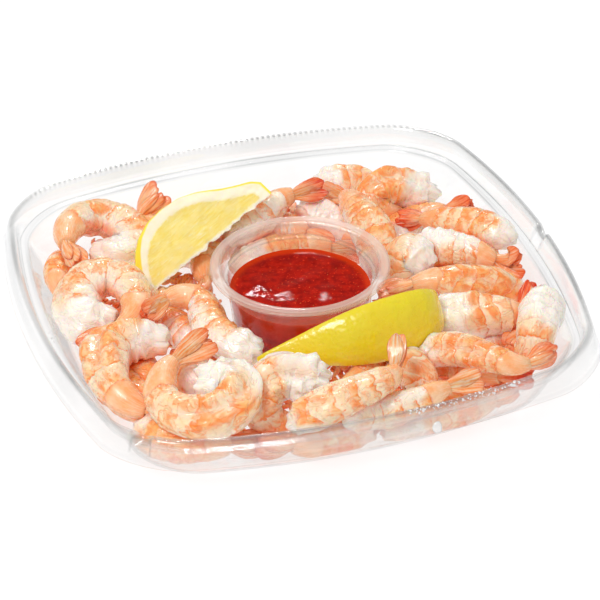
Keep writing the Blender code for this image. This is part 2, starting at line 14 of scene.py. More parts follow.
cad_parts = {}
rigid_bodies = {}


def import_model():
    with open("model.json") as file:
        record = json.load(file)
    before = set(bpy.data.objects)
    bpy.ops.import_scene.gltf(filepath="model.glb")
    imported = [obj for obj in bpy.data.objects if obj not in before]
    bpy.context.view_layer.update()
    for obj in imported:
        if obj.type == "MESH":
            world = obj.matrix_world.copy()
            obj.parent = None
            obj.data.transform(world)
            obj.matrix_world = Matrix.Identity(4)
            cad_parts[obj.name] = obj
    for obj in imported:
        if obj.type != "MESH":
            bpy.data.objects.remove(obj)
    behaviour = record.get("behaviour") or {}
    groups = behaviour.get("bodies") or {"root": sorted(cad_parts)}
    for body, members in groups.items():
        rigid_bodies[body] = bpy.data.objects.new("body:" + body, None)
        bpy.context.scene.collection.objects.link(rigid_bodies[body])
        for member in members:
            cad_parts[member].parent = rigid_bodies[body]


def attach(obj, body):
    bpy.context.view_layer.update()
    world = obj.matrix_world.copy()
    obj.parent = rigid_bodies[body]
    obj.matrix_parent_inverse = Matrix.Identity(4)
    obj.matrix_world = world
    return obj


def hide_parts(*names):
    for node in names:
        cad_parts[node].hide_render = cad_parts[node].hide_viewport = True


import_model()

# ---------------------------------------------------------------- driving sizes
TRAY_HALF = 0.113        # half the width of the tray at the middle of a side
WALL = 0.0008            # thickness of the tray's sheet
GAP = 0.0003             # clearance between pieces that touch
CUP_X, CUP_Y = 0.0024, -0.0018
CUP_WALL = 0.0009
CUP_RIM_R = 0.037
CUP_TOP = 0.0362
SAUCE_LEVEL = 0.0236
RING = 32                # points round the tray
CUP_SIDES = 28
SHRIMP_SIDES = 8
FLOOR_TOP = WALL

# Rings of the tray's underside, from the floor outward: half width, height,
# corner radius and side bulge, all as shares of TRAY_HALF.
TRAY_RINGS = (
    (0.720, 0.000, 0.120, 0.085),
    (0.786, 0.006, 0.140, 0.090),
    (0.822, 0.030, 0.155, 0.093),
    (0.843, 0.070, 0.165, 0.095),
    (0.896, 0.188, 0.196, 0.096),
    (0.904, 0.201, 0.199, 0.099),
    (0.938, 0.203, 0.195, 0.112),
    (0.954, 0.258, 0.187, 0.124),
    (0.966, 0.277, 0.185, 0.126),
    (0.978, 0.268, 0.186, 0.126),
    (0.988, 0.196, 0.190, 0.125),
    (1.000, 0.180, 0.192, 0.125),
)

# The heap is laid out as it looks from one standing point in front of the tray:
# turn, height angle and tilt of that look, its distance and the spot it aims at.
# A place in the layout is (across, down) in a square 600 wide, and a height.
LOOK_TURN, LOOK_UP, LOOK_TILT = math.radians(-17.63), math.radians(33.19), math.radians(-0.78)
LOOK_FAR = 12.161 * TRAY_HALF
LOOK_AT = (0.059 * TRAY_HALF, 0.107 * TRAY_HALF, 0.075 * TRAY_HALF)
LOOK_ZOOM = 3281.0


def look_axes():
    ca, sa = math.cos(LOOK_TURN), math.sin(LOOK_TURN)
    ce, se = math.cos(LOOK_UP), math.sin(LOOK_UP)
    back = np.array([sa * ce, -ca * ce, se])
    right = np.array([ca, sa, 0.0])
    up = np.cross(back, right)
    ct, st = math.cos(LOOK_TILT), math.sin(LOOK_TILT)
    return back, ct * right + st * up, -st * right + ct * up


BACK, RIGHT, UPWARD = look_axes()
EYE = BACK * LOOK_FAR + np.array(LOOK_AT)


def spot(across, down, height_mm):
    """The point at this height that lies at this place in the layout."""
    ray = -BACK * LOOK_ZOOM + RIGHT * (across - 300.0) + UPWARD * (300.0 - down)
    z = height_mm * 0.001
    return EYE + ray * ((z - EYE[2]) / ray[2])


# ---------------------------------------------------------------- the shrimps
# Each: girth (largest radius, mm), turn of its back about its own line
# (degrees), then the places its middle line passes, from the cut end to the
# tip of the tail: (across, down, height in mm).
SHRIMPS = {
    "shrimp_01": (7.2, 0, ((106, 256, 12), (129, 252, 14), (134, 236, 17), (112, 222, 18), (86, 222, 19), (68, 236, 20), (66, 254, 21), (78, 272, 22))),
    "shrimp_02": (6.2, 0, ((74, 254, 14), (56, 258, 18), (47, 271, 19), (49, 287, 18), (62, 300, 14), (84, 307, 9))),
    "shrimp_03": (6.6, 0, ((188, 252, 8), (178, 236, 9), (158, 228, 10), (141, 215, 14), (161, 189, 23))),
    "shrimp_04": (7.2, 0, ((98, 325, 16), (78, 320, 17), (72, 301, 18), (90, 285, 20), (114, 281, 21), (131, 295, 21), (131, 313, 21), (114, 329, 20), (71, 350, 14))),
    "shrimp_05": (7.6, 0, ((160, 352, 17), (134, 350, 18), (110, 362, 18), (109, 386, 17), (124, 410, 14), (152, 424, 11), (182, 424, 8))),
    "shrimp_06": (7.4, 0, ((248, 358, 15), (226, 350, 17), (206, 328, 19), (203, 306, 22), (188, 296, 24), (168, 298, 25), (143, 318, 24))),
    "shrimp_07": (6.8, 0, ((198, 346, 8), (182, 332, 9), (160, 325, 9), (140, 330, 9), (122, 345, 8), (100, 352, 8))),
    "shrimp_08": (7.8, 0, ((214, 382, 27), (236, 386, 26), (239, 404, 24), (214, 418, 22), (184, 415, 22), (163, 398, 24), (164, 374, 28), (178, 356, 30), (213, 337, 34))),
    "shrimp_09": (6.4, 0, ((196, 402, 8), (192, 382, 9), (206, 366, 9), (228, 363, 9), (253, 369, 10))),
    "shrimp_10": (7.8, 0, ((314, 388, 22), (290, 382, 23), (268, 390, 22), (262, 410, 18), (277, 427, 13), (304, 434, 9), (335, 438, 7))),
    "shrimp_11": (7.2, 0, ((300, 416, 17), (325, 416, 19), (352, 407, 21), (378, 393, 23), (392, 371, 26), (402, 333, 40))),
    "shrimp_12": (6.4, 0, ((446, 341, 8), (426, 351, 9), (404, 361, 11), (382, 371, 15), (357, 383, 19), (314, 402, 21))),
    "shrimp_13": (7.6, 0, ((444, 325, 16), (470, 322, 19), (498, 318, 21), (521, 320, 19), (525, 337, 15), (506, 351, 11))),
    "shrimp_14": (7.2, 0, ((524, 302, 17), (508, 289, 21), (482, 282, 24), (452, 280, 24), (424, 284, 22), (386, 298, 17))),
    "shrimp_15": (7.0, 0, ((434, 351, 19), (458, 349, 23), (484, 357, 24), (508, 366, 24), (528, 367, 23), (557, 355, 24))),
    "shrimp_16": (6.6, 0, ((416, 366, 8), (440, 369, 10), (466, 373, 12), (492, 378, 14), (514, 382, 15), (538, 380, 17))),
    "shrimp_17": (7.0, 0, ((411, 356, 19), (420, 371, 20), (430, 387, 17), (424, 404, 10), (402, 411, 8), (376, 413, 8))),
    "shrimp_18": (6.8, 0, ((352, 428, 8), (380, 420, 9), (408, 411, 12), (430, 402, 15), (447, 392, 18), (483, 379, 21))),
    "shrimp_19": (8.0, 0, ((552, 312, 20), (552, 334, 20), (540, 352, 16), (518, 356, 11), (500, 350, 8))),
    "shrimp_20": (6.4, 0, ((476, 350, 8), (500, 343, 9), (520, 331, 11), (534, 312, 15), (537, 282, 25))),
    "shrimp_21": (7.2, 0, ((424, 196, 15), (404, 190, 17), (382, 190, 17), (369, 200, 15), (382, 211, 12), (406, 214, 9), (432, 218, 8))),
    "shrimp_22": (7.0, 0, ((506, 255, 16), (492, 243, 19), (466, 232, 21), (438, 224, 21), (394, 216, 18))),
    "shrimp_23": (7.6, 0, ((424, 250, 16), (450, 250, 18), (478, 254, 18), (498, 263, 16), (507, 270, 14), (526, 263, 18))),
    "shrimp_24": (7.0, 0, ((428, 263, 16), (414, 256, 17), (403, 268, 15), (410, 284, 11), (432, 291, 8), (462, 297, 8))),
    "shrimp_25": (7.8, 0, ((384, 268, 12), (381, 248, 16), (372, 230, 19), (356, 214, 19), (340, 203, 18), (316, 200, 15))),
    "shrimp_26": (6.8, 0, ((230, 240, 9), (248, 230, 11), (268, 214, 16), (286, 197, 21), (327, 189, 23))),
    "shrimp_27": (7.0, 0, ((326, 192, 11), (344, 188, 13), (362, 191, 12), (370, 204, 9), (354, 216, 8), (330, 220, 8))),
    "shrimp_28": (6.6, 0, ((216, 228, 8), (206, 248, 10), (203, 268, 11), (206, 288, 9), (192, 300, 8))),
    "shrimp_29": (7.0, 0, ((314, 210, 13), (334, 216, 13), (352, 229, 11), (364, 246, 9), (376, 262, 8))),
    "shrimp_30": (6.6, 0, ((262, 236, 9), (286, 232, 9), (312, 236, 9), (334, 248, 8))),
    "shrimp_31": (6.4, 0, ((404, 242, 8), (412, 226, 8), (436, 214, 11), (458, 210, 13), (478, 204, 16))),
    "shrimp_32": (7.0, 0, ((146, 430, 7), (168, 441, 7), (200, 447, 7), (232, 447, 7), (264, 440, 8))),
    "shrimp_33": (7.0, 0, ((388, 434, 7), (352, 443, 7), (316, 448, 7), (280, 447, 8), (258, 440, 9))),
    "shrimp_34": (7.0, 0, ((396, 432, 7), (430, 426, 7), (466, 417, 7), (500, 404, 7), (524, 389, 8))),
    "shrimp_35": (6.6, 0, ((470, 240, 8), (490, 252, 8), (504, 270, 8), (514, 292, 8))),
    "shrimp_36": (6.4, 0, ((204, 236, 8), (222, 227, 9), (246, 219, 8), (270, 215, 8), (288, 217, 7))),
    "shrimp_37": (6.4, 0, ((126, 364, 8), (140, 379, 8), (160, 384, 8), (176, 373, 8), (168, 358, 8))),
    "shrimp_38": (6.2, 0, ((434, 248, 8), (446, 262, 8), (462, 272, 8), (484, 276, 8), (500, 288, 8))),
    "shrimp_39": (6.0, 0, ((128, 306, 7), (148, 304, 7), (168, 300, 7), (186, 290, 7), (196, 276, 7))),
    "shrimp_40": (6.2, 0, ((246, 266, 7), (271, 255, 7), (301, 250, 7), (335, 249, 7), (364, 254, 7))),
    "shrimp_41": (6.2, 0, ((113, 384, 7), (136, 400, 7), (168, 406, 7), (196, 398, 7), (204, 381, 7))),
    "shrimp_42": (6.2, 0, ((398, 270, 7), (423, 276, 7), (444, 288, 7), (450, 303, 7), (442, 318, 7))),
}


def guide_line(points, count):
    """Evenly spaced points on a smooth line through these ones."""
    p = np.array([spot(*q) for q in points])
    p = np.vstack([2 * p[0] - p[1], p, 2 * p[-1] - p[-2]])
    fine = []
    for i in range(1, len(p) - 2):
        a, b, c, d = p[i - 1], p[i], p[i + 1], p[i + 2]
        for t in np.linspace(0, 1, 24, endpoint=False):
            fine.append(0.5 * (2 * b + (c - a) * t + (2 * a - 5 * b + 4 * c - d) * t * t + (3 * b - a - 3 * c + d) * t ** 3))
    fine.append(p[-2])
    fine = np.array(fine)
    for _ in range(30):
        fine[1:-1] += 0.25 * (fine[:-2] + fine[2:] - 2 * fine[1:-1])
    run = np.concatenate([[0], np.cumsum(np.linalg.norm(np.diff(fine, axis=0), axis=1))])
    at = np.linspace(0, run[-1], count)
    return np.stack([np.interp(at, run, fine[:, k]) for k in range(3)], axis=1), run[-1]


# Half height (back to belly) and half width of a shrimp along its length, as
# shares of its girth. The tail fan starts at 0.80.
BODY_U = (0.00, 0.06, 0.17, 0.33, 0.48, 0.62, 0.74, 0.80, 0.91, 1.00)
BODY_H = (0.70, 0.93, 1.02, 1.00, 0.94, 0.82, 0.60, 0.43, 0.26, 0.11)
BODY_W = (0.64, 0.85, 0.95, 0.94, 0.87, 0.75, 0.55, 0.44, 0.55, 0.42)


def half_height(u):
    return np.interp(u, BODY_U, BODY_H)


def half_width(u):
    return np.interp(u, BODY_U, BODY_W)


def frames(line):
    """Tangent, back (dorsal) and side direction at each point of a line."""
    t = np.gradient(line, axis=0)
    t /= np.linalg.norm(t, axis=1)[:, None]
    bend = np.gradient(t, axis=0)
    normal = np.cross(t, bend).sum(axis=0)
    if np.linalg.norm(normal) < 1e-9:
        normal = np.array([0.0, 0.0, 1.0])
    normal /= np.linalg.norm(normal)
    side = normal - t * (t @ normal)[:, None]
    side /= np.linalg.norm(side, axis=1)[:, None]
    back = np.cross(t, side)
    if (back * bend).sum() > 0:
        back = -back
    return t, back, side


def tray_half(z):
    """Half width of the well's inner wall at a height."""
    zs = np.array([r[1] for r in TRAY_RINGS[:6]]) * TRAY_HALF + WALL
    hs = np.array([r[0] for r in TRAY_RINGS[:6]]) * TRAY_HALF - WALL
    return np.interp(z, zs, hs)


def cup_radius(z):
    return np.interp(z, [c[1] for c in CUP_OUT], [c[0] for c in CUP_OUT])


CUP_BASE = FLOOR_TOP + GAP
CUP_OUT = (
    (0.0262, CUP_BASE),
    (0.0276, CUP_BASE + 0.0014),
    (0.0303, 0.0286),
    (0.0320, 0.0298),
    (0.0331, 0.0338),
    (0.0369, 0.0345),
    (CUP_RIM_R, CUP_TOP - 0.0004),
)


# Lemon wedges: the two ends of the straight inner edge (places in the layout
# with heights), the direction the middle of the rind faces, the opening angle
# and the largest radius.
LEMONS = {
    "lemon_wedge_back": ((148, 298, 14), (272, 193, 36), (-0.404, 0.914, -0.036), 62.0, 0.0268),
    "lemon_wedge_front": ((256, 359, 21), (425, 307, 22), (-0.28, -0.86, 0.40), 60.0, 0.0262),
}
# Radius of the fruit along its length, as shares: one end is blunt, the other
# draws out into a nub. The front wedge has its blunt end trimmed flat.
LEMON_ALONG = {
    "lemon_wedge_back": ((0.0, 0.03, 0.08, 0.14, 0.22, 0.33, 0.46, 0.57, 0.68, 0.80, 0.89, 0.96, 1.0), (0.10, 0.32, 0.52, 0.70, 0.86, 0.97, 1.0, 0.96, 0.83, 0.60, 0.47, 0.38, 0.26)),
    "lemon_wedge_front": ((0.0, 0.03, 0.09, 0.18, 0.30, 0.42, 0.54, 0.66, 0.78, 0.88, 0.95, 0.985, 1.0), (0.06, 0.16, 0.27, 0.43, 0.66, 0.85, 0.96, 1.0, 0.98, 0.90, 0.78, 0.68, 0.62)),
}


def lemon_frame(name):
    a, b, rind, opening, radius = LEMONS[name]
    p, q = spot(*a), spot(*b)
    axis = (q - p) / np.linalg.norm(q - p)
    out = np.array(rind) - axis * (np.array(rind) @ axis)
    out /= np.linalg.norm(out)
    return p, q, axis, out, np.cross(axis, out), math.radians(opening), radius


def lemon_radius(name, s):
    """Radius of the whole fruit at a share of its length."""
    at, shares = LEMON_ALONG[name]
    return LEMONS[name][4] * float(np.interp(s, at, shares))


def lemon_balls(name):
    """A wedge as a set of balls, for keeping the shrimps clear of it."""
    p, q, axis, out, side, opening, radius = lemon_frame(name)
    balls = []
    for s in np.linspace(0.03, 0.97, 17):
        here = lemon_radius(name, s)
        for depth in (0.45, 0.80):
            fit = min(here * (1 - depth) + 0.0005, here * depth * math.sin(opening / 2))
            fit = max(fit, 0.0012)
            reach = max(opening / 2 - math.asin(min(0.95, fit / max(here * depth, 1e-5))), 0.0)
            for turn in (-reach, 0.0, reach):
                balls.append((p + axis * (s * np.linalg.norm(q - p)) + here * depth * (math.cos(turn) * out + math.sin(turn) * side), fit))
    return balls


# ---------------------------------------------------------------- settling
FULL = 1.18              # the girths below are of the firm core: the flesh is this much fuller
PRESS = 0.86             # how far neighbours press in: share of the radius that holds them apart
CLEAR = 0.0004           # air kept between neighbours while the heap settles
SLACK = 0.0009           # and before one is pressed in by another
STATIONS = 13
FAN_FROM = 10            # stations from here on are the fan: two small balls each


def square_reach(xy, bulge):
    """Distance of points from the middle, measured in rounded squares with bulging sides (1 = on a square of half width 1)."""
    x, y = np.abs(xy[:, 0]), np.abs(xy[:, 1])
    big, small = np.maximum(x, y), np.minimum(x, y)
    flat = big / (1 - bulge * np.clip(small / np.maximum(big, 1e-9), 0, 1) ** 2)
    soft = (x ** 4 + y ** 4) ** 0.25
    return np.maximum(flat * 0.985, soft)


def gather(index, vectors, count):
    return np.stack([np.bincount(index, vectors[:, k], count) for k in range(3)], axis=1)


def rigid(a, b):
    """The turn and the two middles that carry points a onto b."""
    ca, cb = a.mean(axis=0), b.mean(axis=0)
    u, _, v = np.linalg.svd((a - ca).T @ (b - cb))
    fix = np.diag([1.0, 1.0, np.sign(np.linalg.det(u @ v))])
    return u @ fix @ v, ca, cb


def settle():
    """Rest places of the shrimps: each keeps its shape and its look from the front, and is slid clear of its neighbours, the tray, the cup and the lemons."""
    names = list(SHRIMPS)
    balls, radii, owner, lines = [], [], [], []
    for k, name in enumerate(names):
        girth, turn, places = SHRIMPS[name]
        line, length = guide_line(places, STATIONS)
        t, back, side = frames(line)
        lines.append(line)
        for i in range(STATIONS):
            u = i / (STATIONS - 1)
            if i < FAN_FROM:
                balls.append(line[i]); radii.append(girth * 0.001 * FULL * PRESS * float(half_height(u))); owner.append(k)
            else:
                r = girth * 0.001 * FULL * max(0.24, float(half_height(u)))
                off = max(girth * 0.001 * FULL * float(half_width(u)) - r, 0.0)
                for s in (-1, 1):
                    balls.append(line[i] + side[i] * off * s); radii.append(r); owner.append(k)
    balls, radii, owner = np.array(balls), np.array(radii), np.array(owner)
    fixed = [b for name in LEMONS for b in lemon_balls(name)]
    still, still_r = np.array([b[0] for b in fixed]), np.array([b[1] for b in fixed])
    start, count = balls.copy(), len(balls)
    groups = [np.nonzero(owner == k)[0] for k in range(len(names))]
    ray = start - EYE
    ray /= np.linalg.norm(ray, axis=1)[:, None]
    for step in range(480):
        if step % 20 == 0:          # who is near whom
            d2 = ((balls[:, None, :] - balls[None, :, :]) ** 2).sum(axis=2)
            reach = radii[:, None] + radii[None, :] + 0.006
            i, j = np.nonzero((d2 < reach ** 2) & (owner[:, None] != owner[None, :]))
            d2 = ((balls[:, None, :] - still[None, :, :]) ** 2).sum(axis=2)
            m, f = np.nonzero(d2 < (radii[:, None] + still_r[None, :] + 0.006) ** 2)
        ease = 0.16 if step < 360 else 0.16 * (1 - (step - 360) / 120.0)
        gap = balls[i] - balls[j]
        dist = np.sqrt((gap ** 2).sum(axis=1)) + 1e-9
        over = np.clip(radii[i] + radii[j] + CLEAR - dist, 0, None)
        move = gather(i, gap / dist[:, None] * (over * 0.5)[:, None], count) / np.maximum(np.bincount(i, over > 0, count), 1)[:, None] * 1.25
        gap = balls[m] - still[f]
        dist = np.sqrt((gap ** 2).sum(axis=1)) + 1e-9
        over = np.clip(radii[m] + still_r[f] + CLEAR - dist, 0, None)
        move += gather(m, gap / dist[:, None] * over[:, None], count) / np.maximum(np.bincount(m, over > 0, count), 1)[:, None]
        move[:, 2] += np.clip(FLOOR_TOP + 0.0006 + radii - balls[:, 2], 0, None)
        # the well's wall
        limit = tray_half(balls[:, 2] - radii * 0.4) - radii * 1.07 - 0.0016
        past = np.clip(square_reach(balls[:, :2], 0.10) - limit, 0, None)
        move[:, :2] -= balls[:, :2] / np.maximum(np.linalg.norm(balls[:, :2], axis=1), 1e-6)[:, None] * past[:, None]
        # the cup
        rel = balls[:, :2] - np.array([CUP_X, CUP_Y])
        away = np.linalg.norm(rel, axis=1) + 1e-9
        wide = np.maximum(cup_radius(balls[:, 2] + radii * 0.7), cup_radius(balls[:, 2] - radii * 0.7))
        past = np.clip(wide + radii + 0.0009 - away, 0, None)
        move[:, :2] += rel / away[:, None] * past[:, None]
        # each shrimp tends back to its place, most of all across the look
        home = start - balls
        along = (home * ray).sum(axis=1)[:, None] * ray
        move += ease * (home - along) + 0.10 * ease * along
        for mine in groups:
            turn, ca, cb = rigid(balls[mine], balls[mine] + move[mine])
            balls[mine] = (balls[mine] - ca) @ turn + cb
    settled = {}
    for name, line, mine in zip(names, lines, groups):
        turn, ca, cb = rigid(start[mine], balls[mine])
        settled[name] = np.round((line - ca) @ turn + cb, 5)
    return settled


def finer(line, count):
    """The settled line with more points, along a smooth curve."""
    p = np.vstack([2 * line[0] - line[1], line, 2 * line[-1] - line[-2]])
    at = np.linspace(0, len(line) - 1, count)
    i = np.minimum(at.astype(int), len(line) - 2)
    t = (at - i)[:, None]
    a, b, c, d = p[i], p[i + 1], p[i + 2], p[i + 3]
    return 0.5 * (2 * b + (c - a) * t + (2 * a - 5 * b + 4 * c - d) * t * t + (3 * b - a - 3 * c + d) * t ** 3)


def square_ring(half, corner, bulge, count):
    """Points round a square with round corners and bulging sides, anticlockwise."""
    inner = half - bulge
    per = count // 8
    points = []
    for k in range(4):
        turn = k * math.pi / 2
        for i in range(per):            # round the corner
            a = (i + 0.5) / per * math.pi / 2
            points.append(_turned(inner - corner + corner * math.cos(a), inner - corner + corner * math.sin(a), turn))
        for i in range(per):            # along the side to the next corner
            t = (i + 0.5) / per
            points.append(_turned((inner - corner) * (1 - 2 * t), inner, turn))
    out = []
    for x, y in points:
        bx = bulge * (1 - min(1, abs(y / inner)) ** 2) * math.copysign(1, x) * min(1, abs(x / inner)) ** 2
        by = bulge * (1 - min(1, abs(x / inner)) ** 2) * math.copysign(1, y) * min(1, abs(y / inner)) ** 2
        out.append((x + bx, y + by))
    return out


def _turned(x, y, a):
    c, s = round(math.cos(a)), round(math.sin(a))
    return (x * c - y * s, x * s + y * c)


def sauce_height(x, y):
    """The sauce's uneven top: it climbs a little at the wall and has a low swirl."""
    r = math.hypot(x, y) / 0.0295
    return 0.0006 * r ** 6 + 0.0004 * math.sin(3.1 * x / 0.01 + 1.3 * y / 0.01) * (1 - r) + 0.0003 * math.sin(5.2 * y / 0.01 - 2.0 * x / 0.01) * (1 - r)
# ---------------------------------------------------------------- small tools
def lattice(i, j, k, seed):
    n = (i * 73856093) ^ (j * 19349663) ^ (k * 83492791) ^ (seed * 40503)
    n = (n & 0xffffffff)
    n = ((n ^ (n >> 13)) * 1274126177) & 0xffffffff
    n = ((n ^ (n >> 16)) * 668265263) & 0xffffffff
    return ((n ^ (n >> 15)) & 0xffffff) / 8388607.5 - 1.0


def noise(p, size, seed=0):
    """Smooth noise from -1 to 1 at points, with lumps about this size."""
    q = np.asarray(p, float) / size + seed * 0.37
    base = np.floor(q).astype(np.int64)
    f = q - base
    f = f * f * (3 - 2 * f)
    total = 0
    for dx in (0, 1):
        for dy in (0, 1):
            for dz in (0, 1):
                w = (f[..., 0] if dx else 1 - f[..., 0]) * (f[..., 1] if dy else 1 - f[..., 1]) * (f[..., 2] if dz else 1 - f[..., 2])
                total = total + w * lattice(base[..., 0] + dx, base[..., 1] + dy, base[..., 2] + dz, seed)
    return total


def ramp(x, a, b):
    """0 below a, 1 above b, smooth between."""
    t = np.clip((np.asarray(x, float) - a) / (b - a), 0, 1)
    return t * t * (3 - 2 * t)


def soft_over(x, w):
    """max(x, 0) with a rounded corner of width w."""
    return w * np.logaddexp(0, np.asarray(x) / w)


def tube_faces(rings, count, cap_first=True, cap_last=True, start=0):
    """Quads between rings of points, and fans to an end point where asked: those points follow the rings."""
    r, i = np.meshgrid(np.arange(rings - 1), np.arange(count), indexing="ij")
    j = (i + 1) % count
    quads = np.stack([r * count + i, r * count + j, (r + 1) * count + j, (r + 1) * count + i], axis=-1).reshape(-1, 4) + start
    faces = [tuple(q) for q in quads.tolist()]
    tip = start + rings * count
    if cap_first:
        faces += [(start + (k + 1) % count, start + k, tip) for k in range(count)]
        tip += 1
    if cap_last:
        last = start + (rings - 1) * count
        faces += [(last + k, last + (k + 1) % count, tip) for k in range(count)]
    return faces


def piece(name, verts, faces, mats, slots=None, values=None, vectors=None, sharp=None):
    mesh = bpy.data.meshes.new(name)
    mesh.from_pydata(np.asarray(verts, float).tolist(), [], faces)
    for m in mats:
        mesh.materials.append(m)
    if slots is not None:
        mesh.polygons.foreach_set("material_index", np.asarray(slots, np.int32))
    for key, v in (values or {}).items():
        mesh.attributes.new(key, "FLOAT", "POINT").data.foreach_set("value", np.asarray(v, np.float32).ravel())
    for key, v in (vectors or {}).items():
        mesh.attributes.new(key, "FLOAT_VECTOR", "POINT").data.foreach_set("vector", np.asarray(v, np.float32).ravel())
    mesh.shade_smooth()
    if sharp:
        mesh.set_sharp_from_angle(angle=math.radians(sharp))
    mesh.update()
    obj = bpy.data.objects.new(name, mesh)
    bpy.context.scene.collection.objects.link(obj)
    return obj


def outward(verts, faces):
    """True if the faces of a closed form point outwards."""
    v = np.asarray(verts, float)
    v = v - v.mean(axis=0)
    total = 0.0
    for size in (3, 4):
        f = np.array([q for q in faces if len(q) == size])
        if len(f):
            for k in range(1, size - 1):
                total += (v[f[:, 0]] * np.cross(v[f[:, k]], v[f[:, k + 1]])).sum()
    return total > 0


# ---------------------------------------------------------------- materials
class Paint:
    """Builds a node material with short calls."""

    def __init__(self, name):
        self.mat = bpy.data.materials.new(name)
        self.mat.use_nodes = True
        self.tree = self.mat.node_tree
        self.tree.nodes.clear()
        self.out = self.tree.nodes.new("ShaderNodeOutputMaterial")

    def node(self, kind, **settings):
        n = self.tree.nodes.new("ShaderNode" + kind)
        for k, v in settings.items():
            setattr(n, k, v)
        return n

    def join(self, a, b):
        self.tree.links.new(a, b)

    def put(self, socket, value):
        if hasattr(value, "is_output"):
            self.join(value, socket)
        elif isinstance(value, (tuple, list)):
            socket.default_value = (*value, 1.0) if len(socket.default_value) == 4 and len(value) == 3 else value
        else:
            socket.default_value = value

    def attr(self, name, kind="Fac"):
        n = self.node("Attribute", attribute_name=name)
        return n.outputs[kind]

    def math(self, op, a, b=0.0, c=0.0, clamp=False):
        n = self.node("Math", operation=op, use_clamp=clamp)
        for s, v in zip(n.inputs, (a, b, c)):
            self.put(s, v)
        return n.outputs[0]

    def ramp(self, x, a, b, low=0.0, high=1.0):
        n = self.node("MapRange", interpolation_type="SMOOTHSTEP", clamp=True)
        self.put(n.inputs["Value"], x)
        self.put(n.inputs["From Min"], a)
        self.put(n.inputs["From Max"], b)
        self.put(n.inputs["To Min"], low)
        self.put(n.inputs["To Max"], high)
        return n.outputs["Result"]

    def noise(self, vector, scale, detail=3.0, rough=0.55, distort=0.0, out="Fac"):
        n = self.node("TexNoise")
        if vector is not None:
            self.put(n.inputs["Vector"], vector)
        n.inputs["Scale"].default_value = scale
        n.inputs["Detail"].default_value = detail
        n.inputs["Roughness"].default_value = rough
        n.inputs["Distortion"].default_value = distort
        return n.outputs[out]

    def voronoi(self, vector, scale, feature="F1", out="Distance", randomness=1.0):
        n = self.node("TexVoronoi", feature=feature)
        if vector is not None:
            self.put(n.inputs["Vector"], vector)
        n.inputs["Scale"].default_value = scale
        n.inputs["Randomness"].default_value = randomness
        return n.outputs[out]

    def scaled(self, vector, by, turn=(0, 0, 0)):
        n = self.node("Mapping", vector_type="POINT")
        self.put(n.inputs["Vector"], vector)
        n.inputs["Scale"].default_value = by
        n.inputs["Rotation"].default_value = turn
        return n.outputs[0]

    def place(self):
        return self.node("TexCoord").outputs["Object"]

    def mix(self, factor, a, b, blend="MIX"):
        n = self.node("Mix", data_type="RGBA", blend_type=blend)
        self.put(n.inputs[0], factor)
        self.put(n.inputs[6], a)
        self.put(n.inputs[7], b)
        return n.outputs[2]

    def bump(self, height, distance, strength=1.0, normal=None):
        n = self.node("Bump")
        n.inputs["Strength"].default_value = strength
        n.inputs["Distance"].default_value = distance
        self.put(n.inputs["Height"], height)
        if normal is not None:
            self.join(normal, n.inputs["Normal"])
        return n.outputs[0]

    def principled(self, **inputs):
        n = self.node("BsdfPrincipled")
        for k, v in inputs.items():
            self.put(n.inputs[k.replace("_", " ")], v)
        return n

    def finish(self, shader):
        self.join(shader, self.out.inputs["Surface"])
        return self.mat


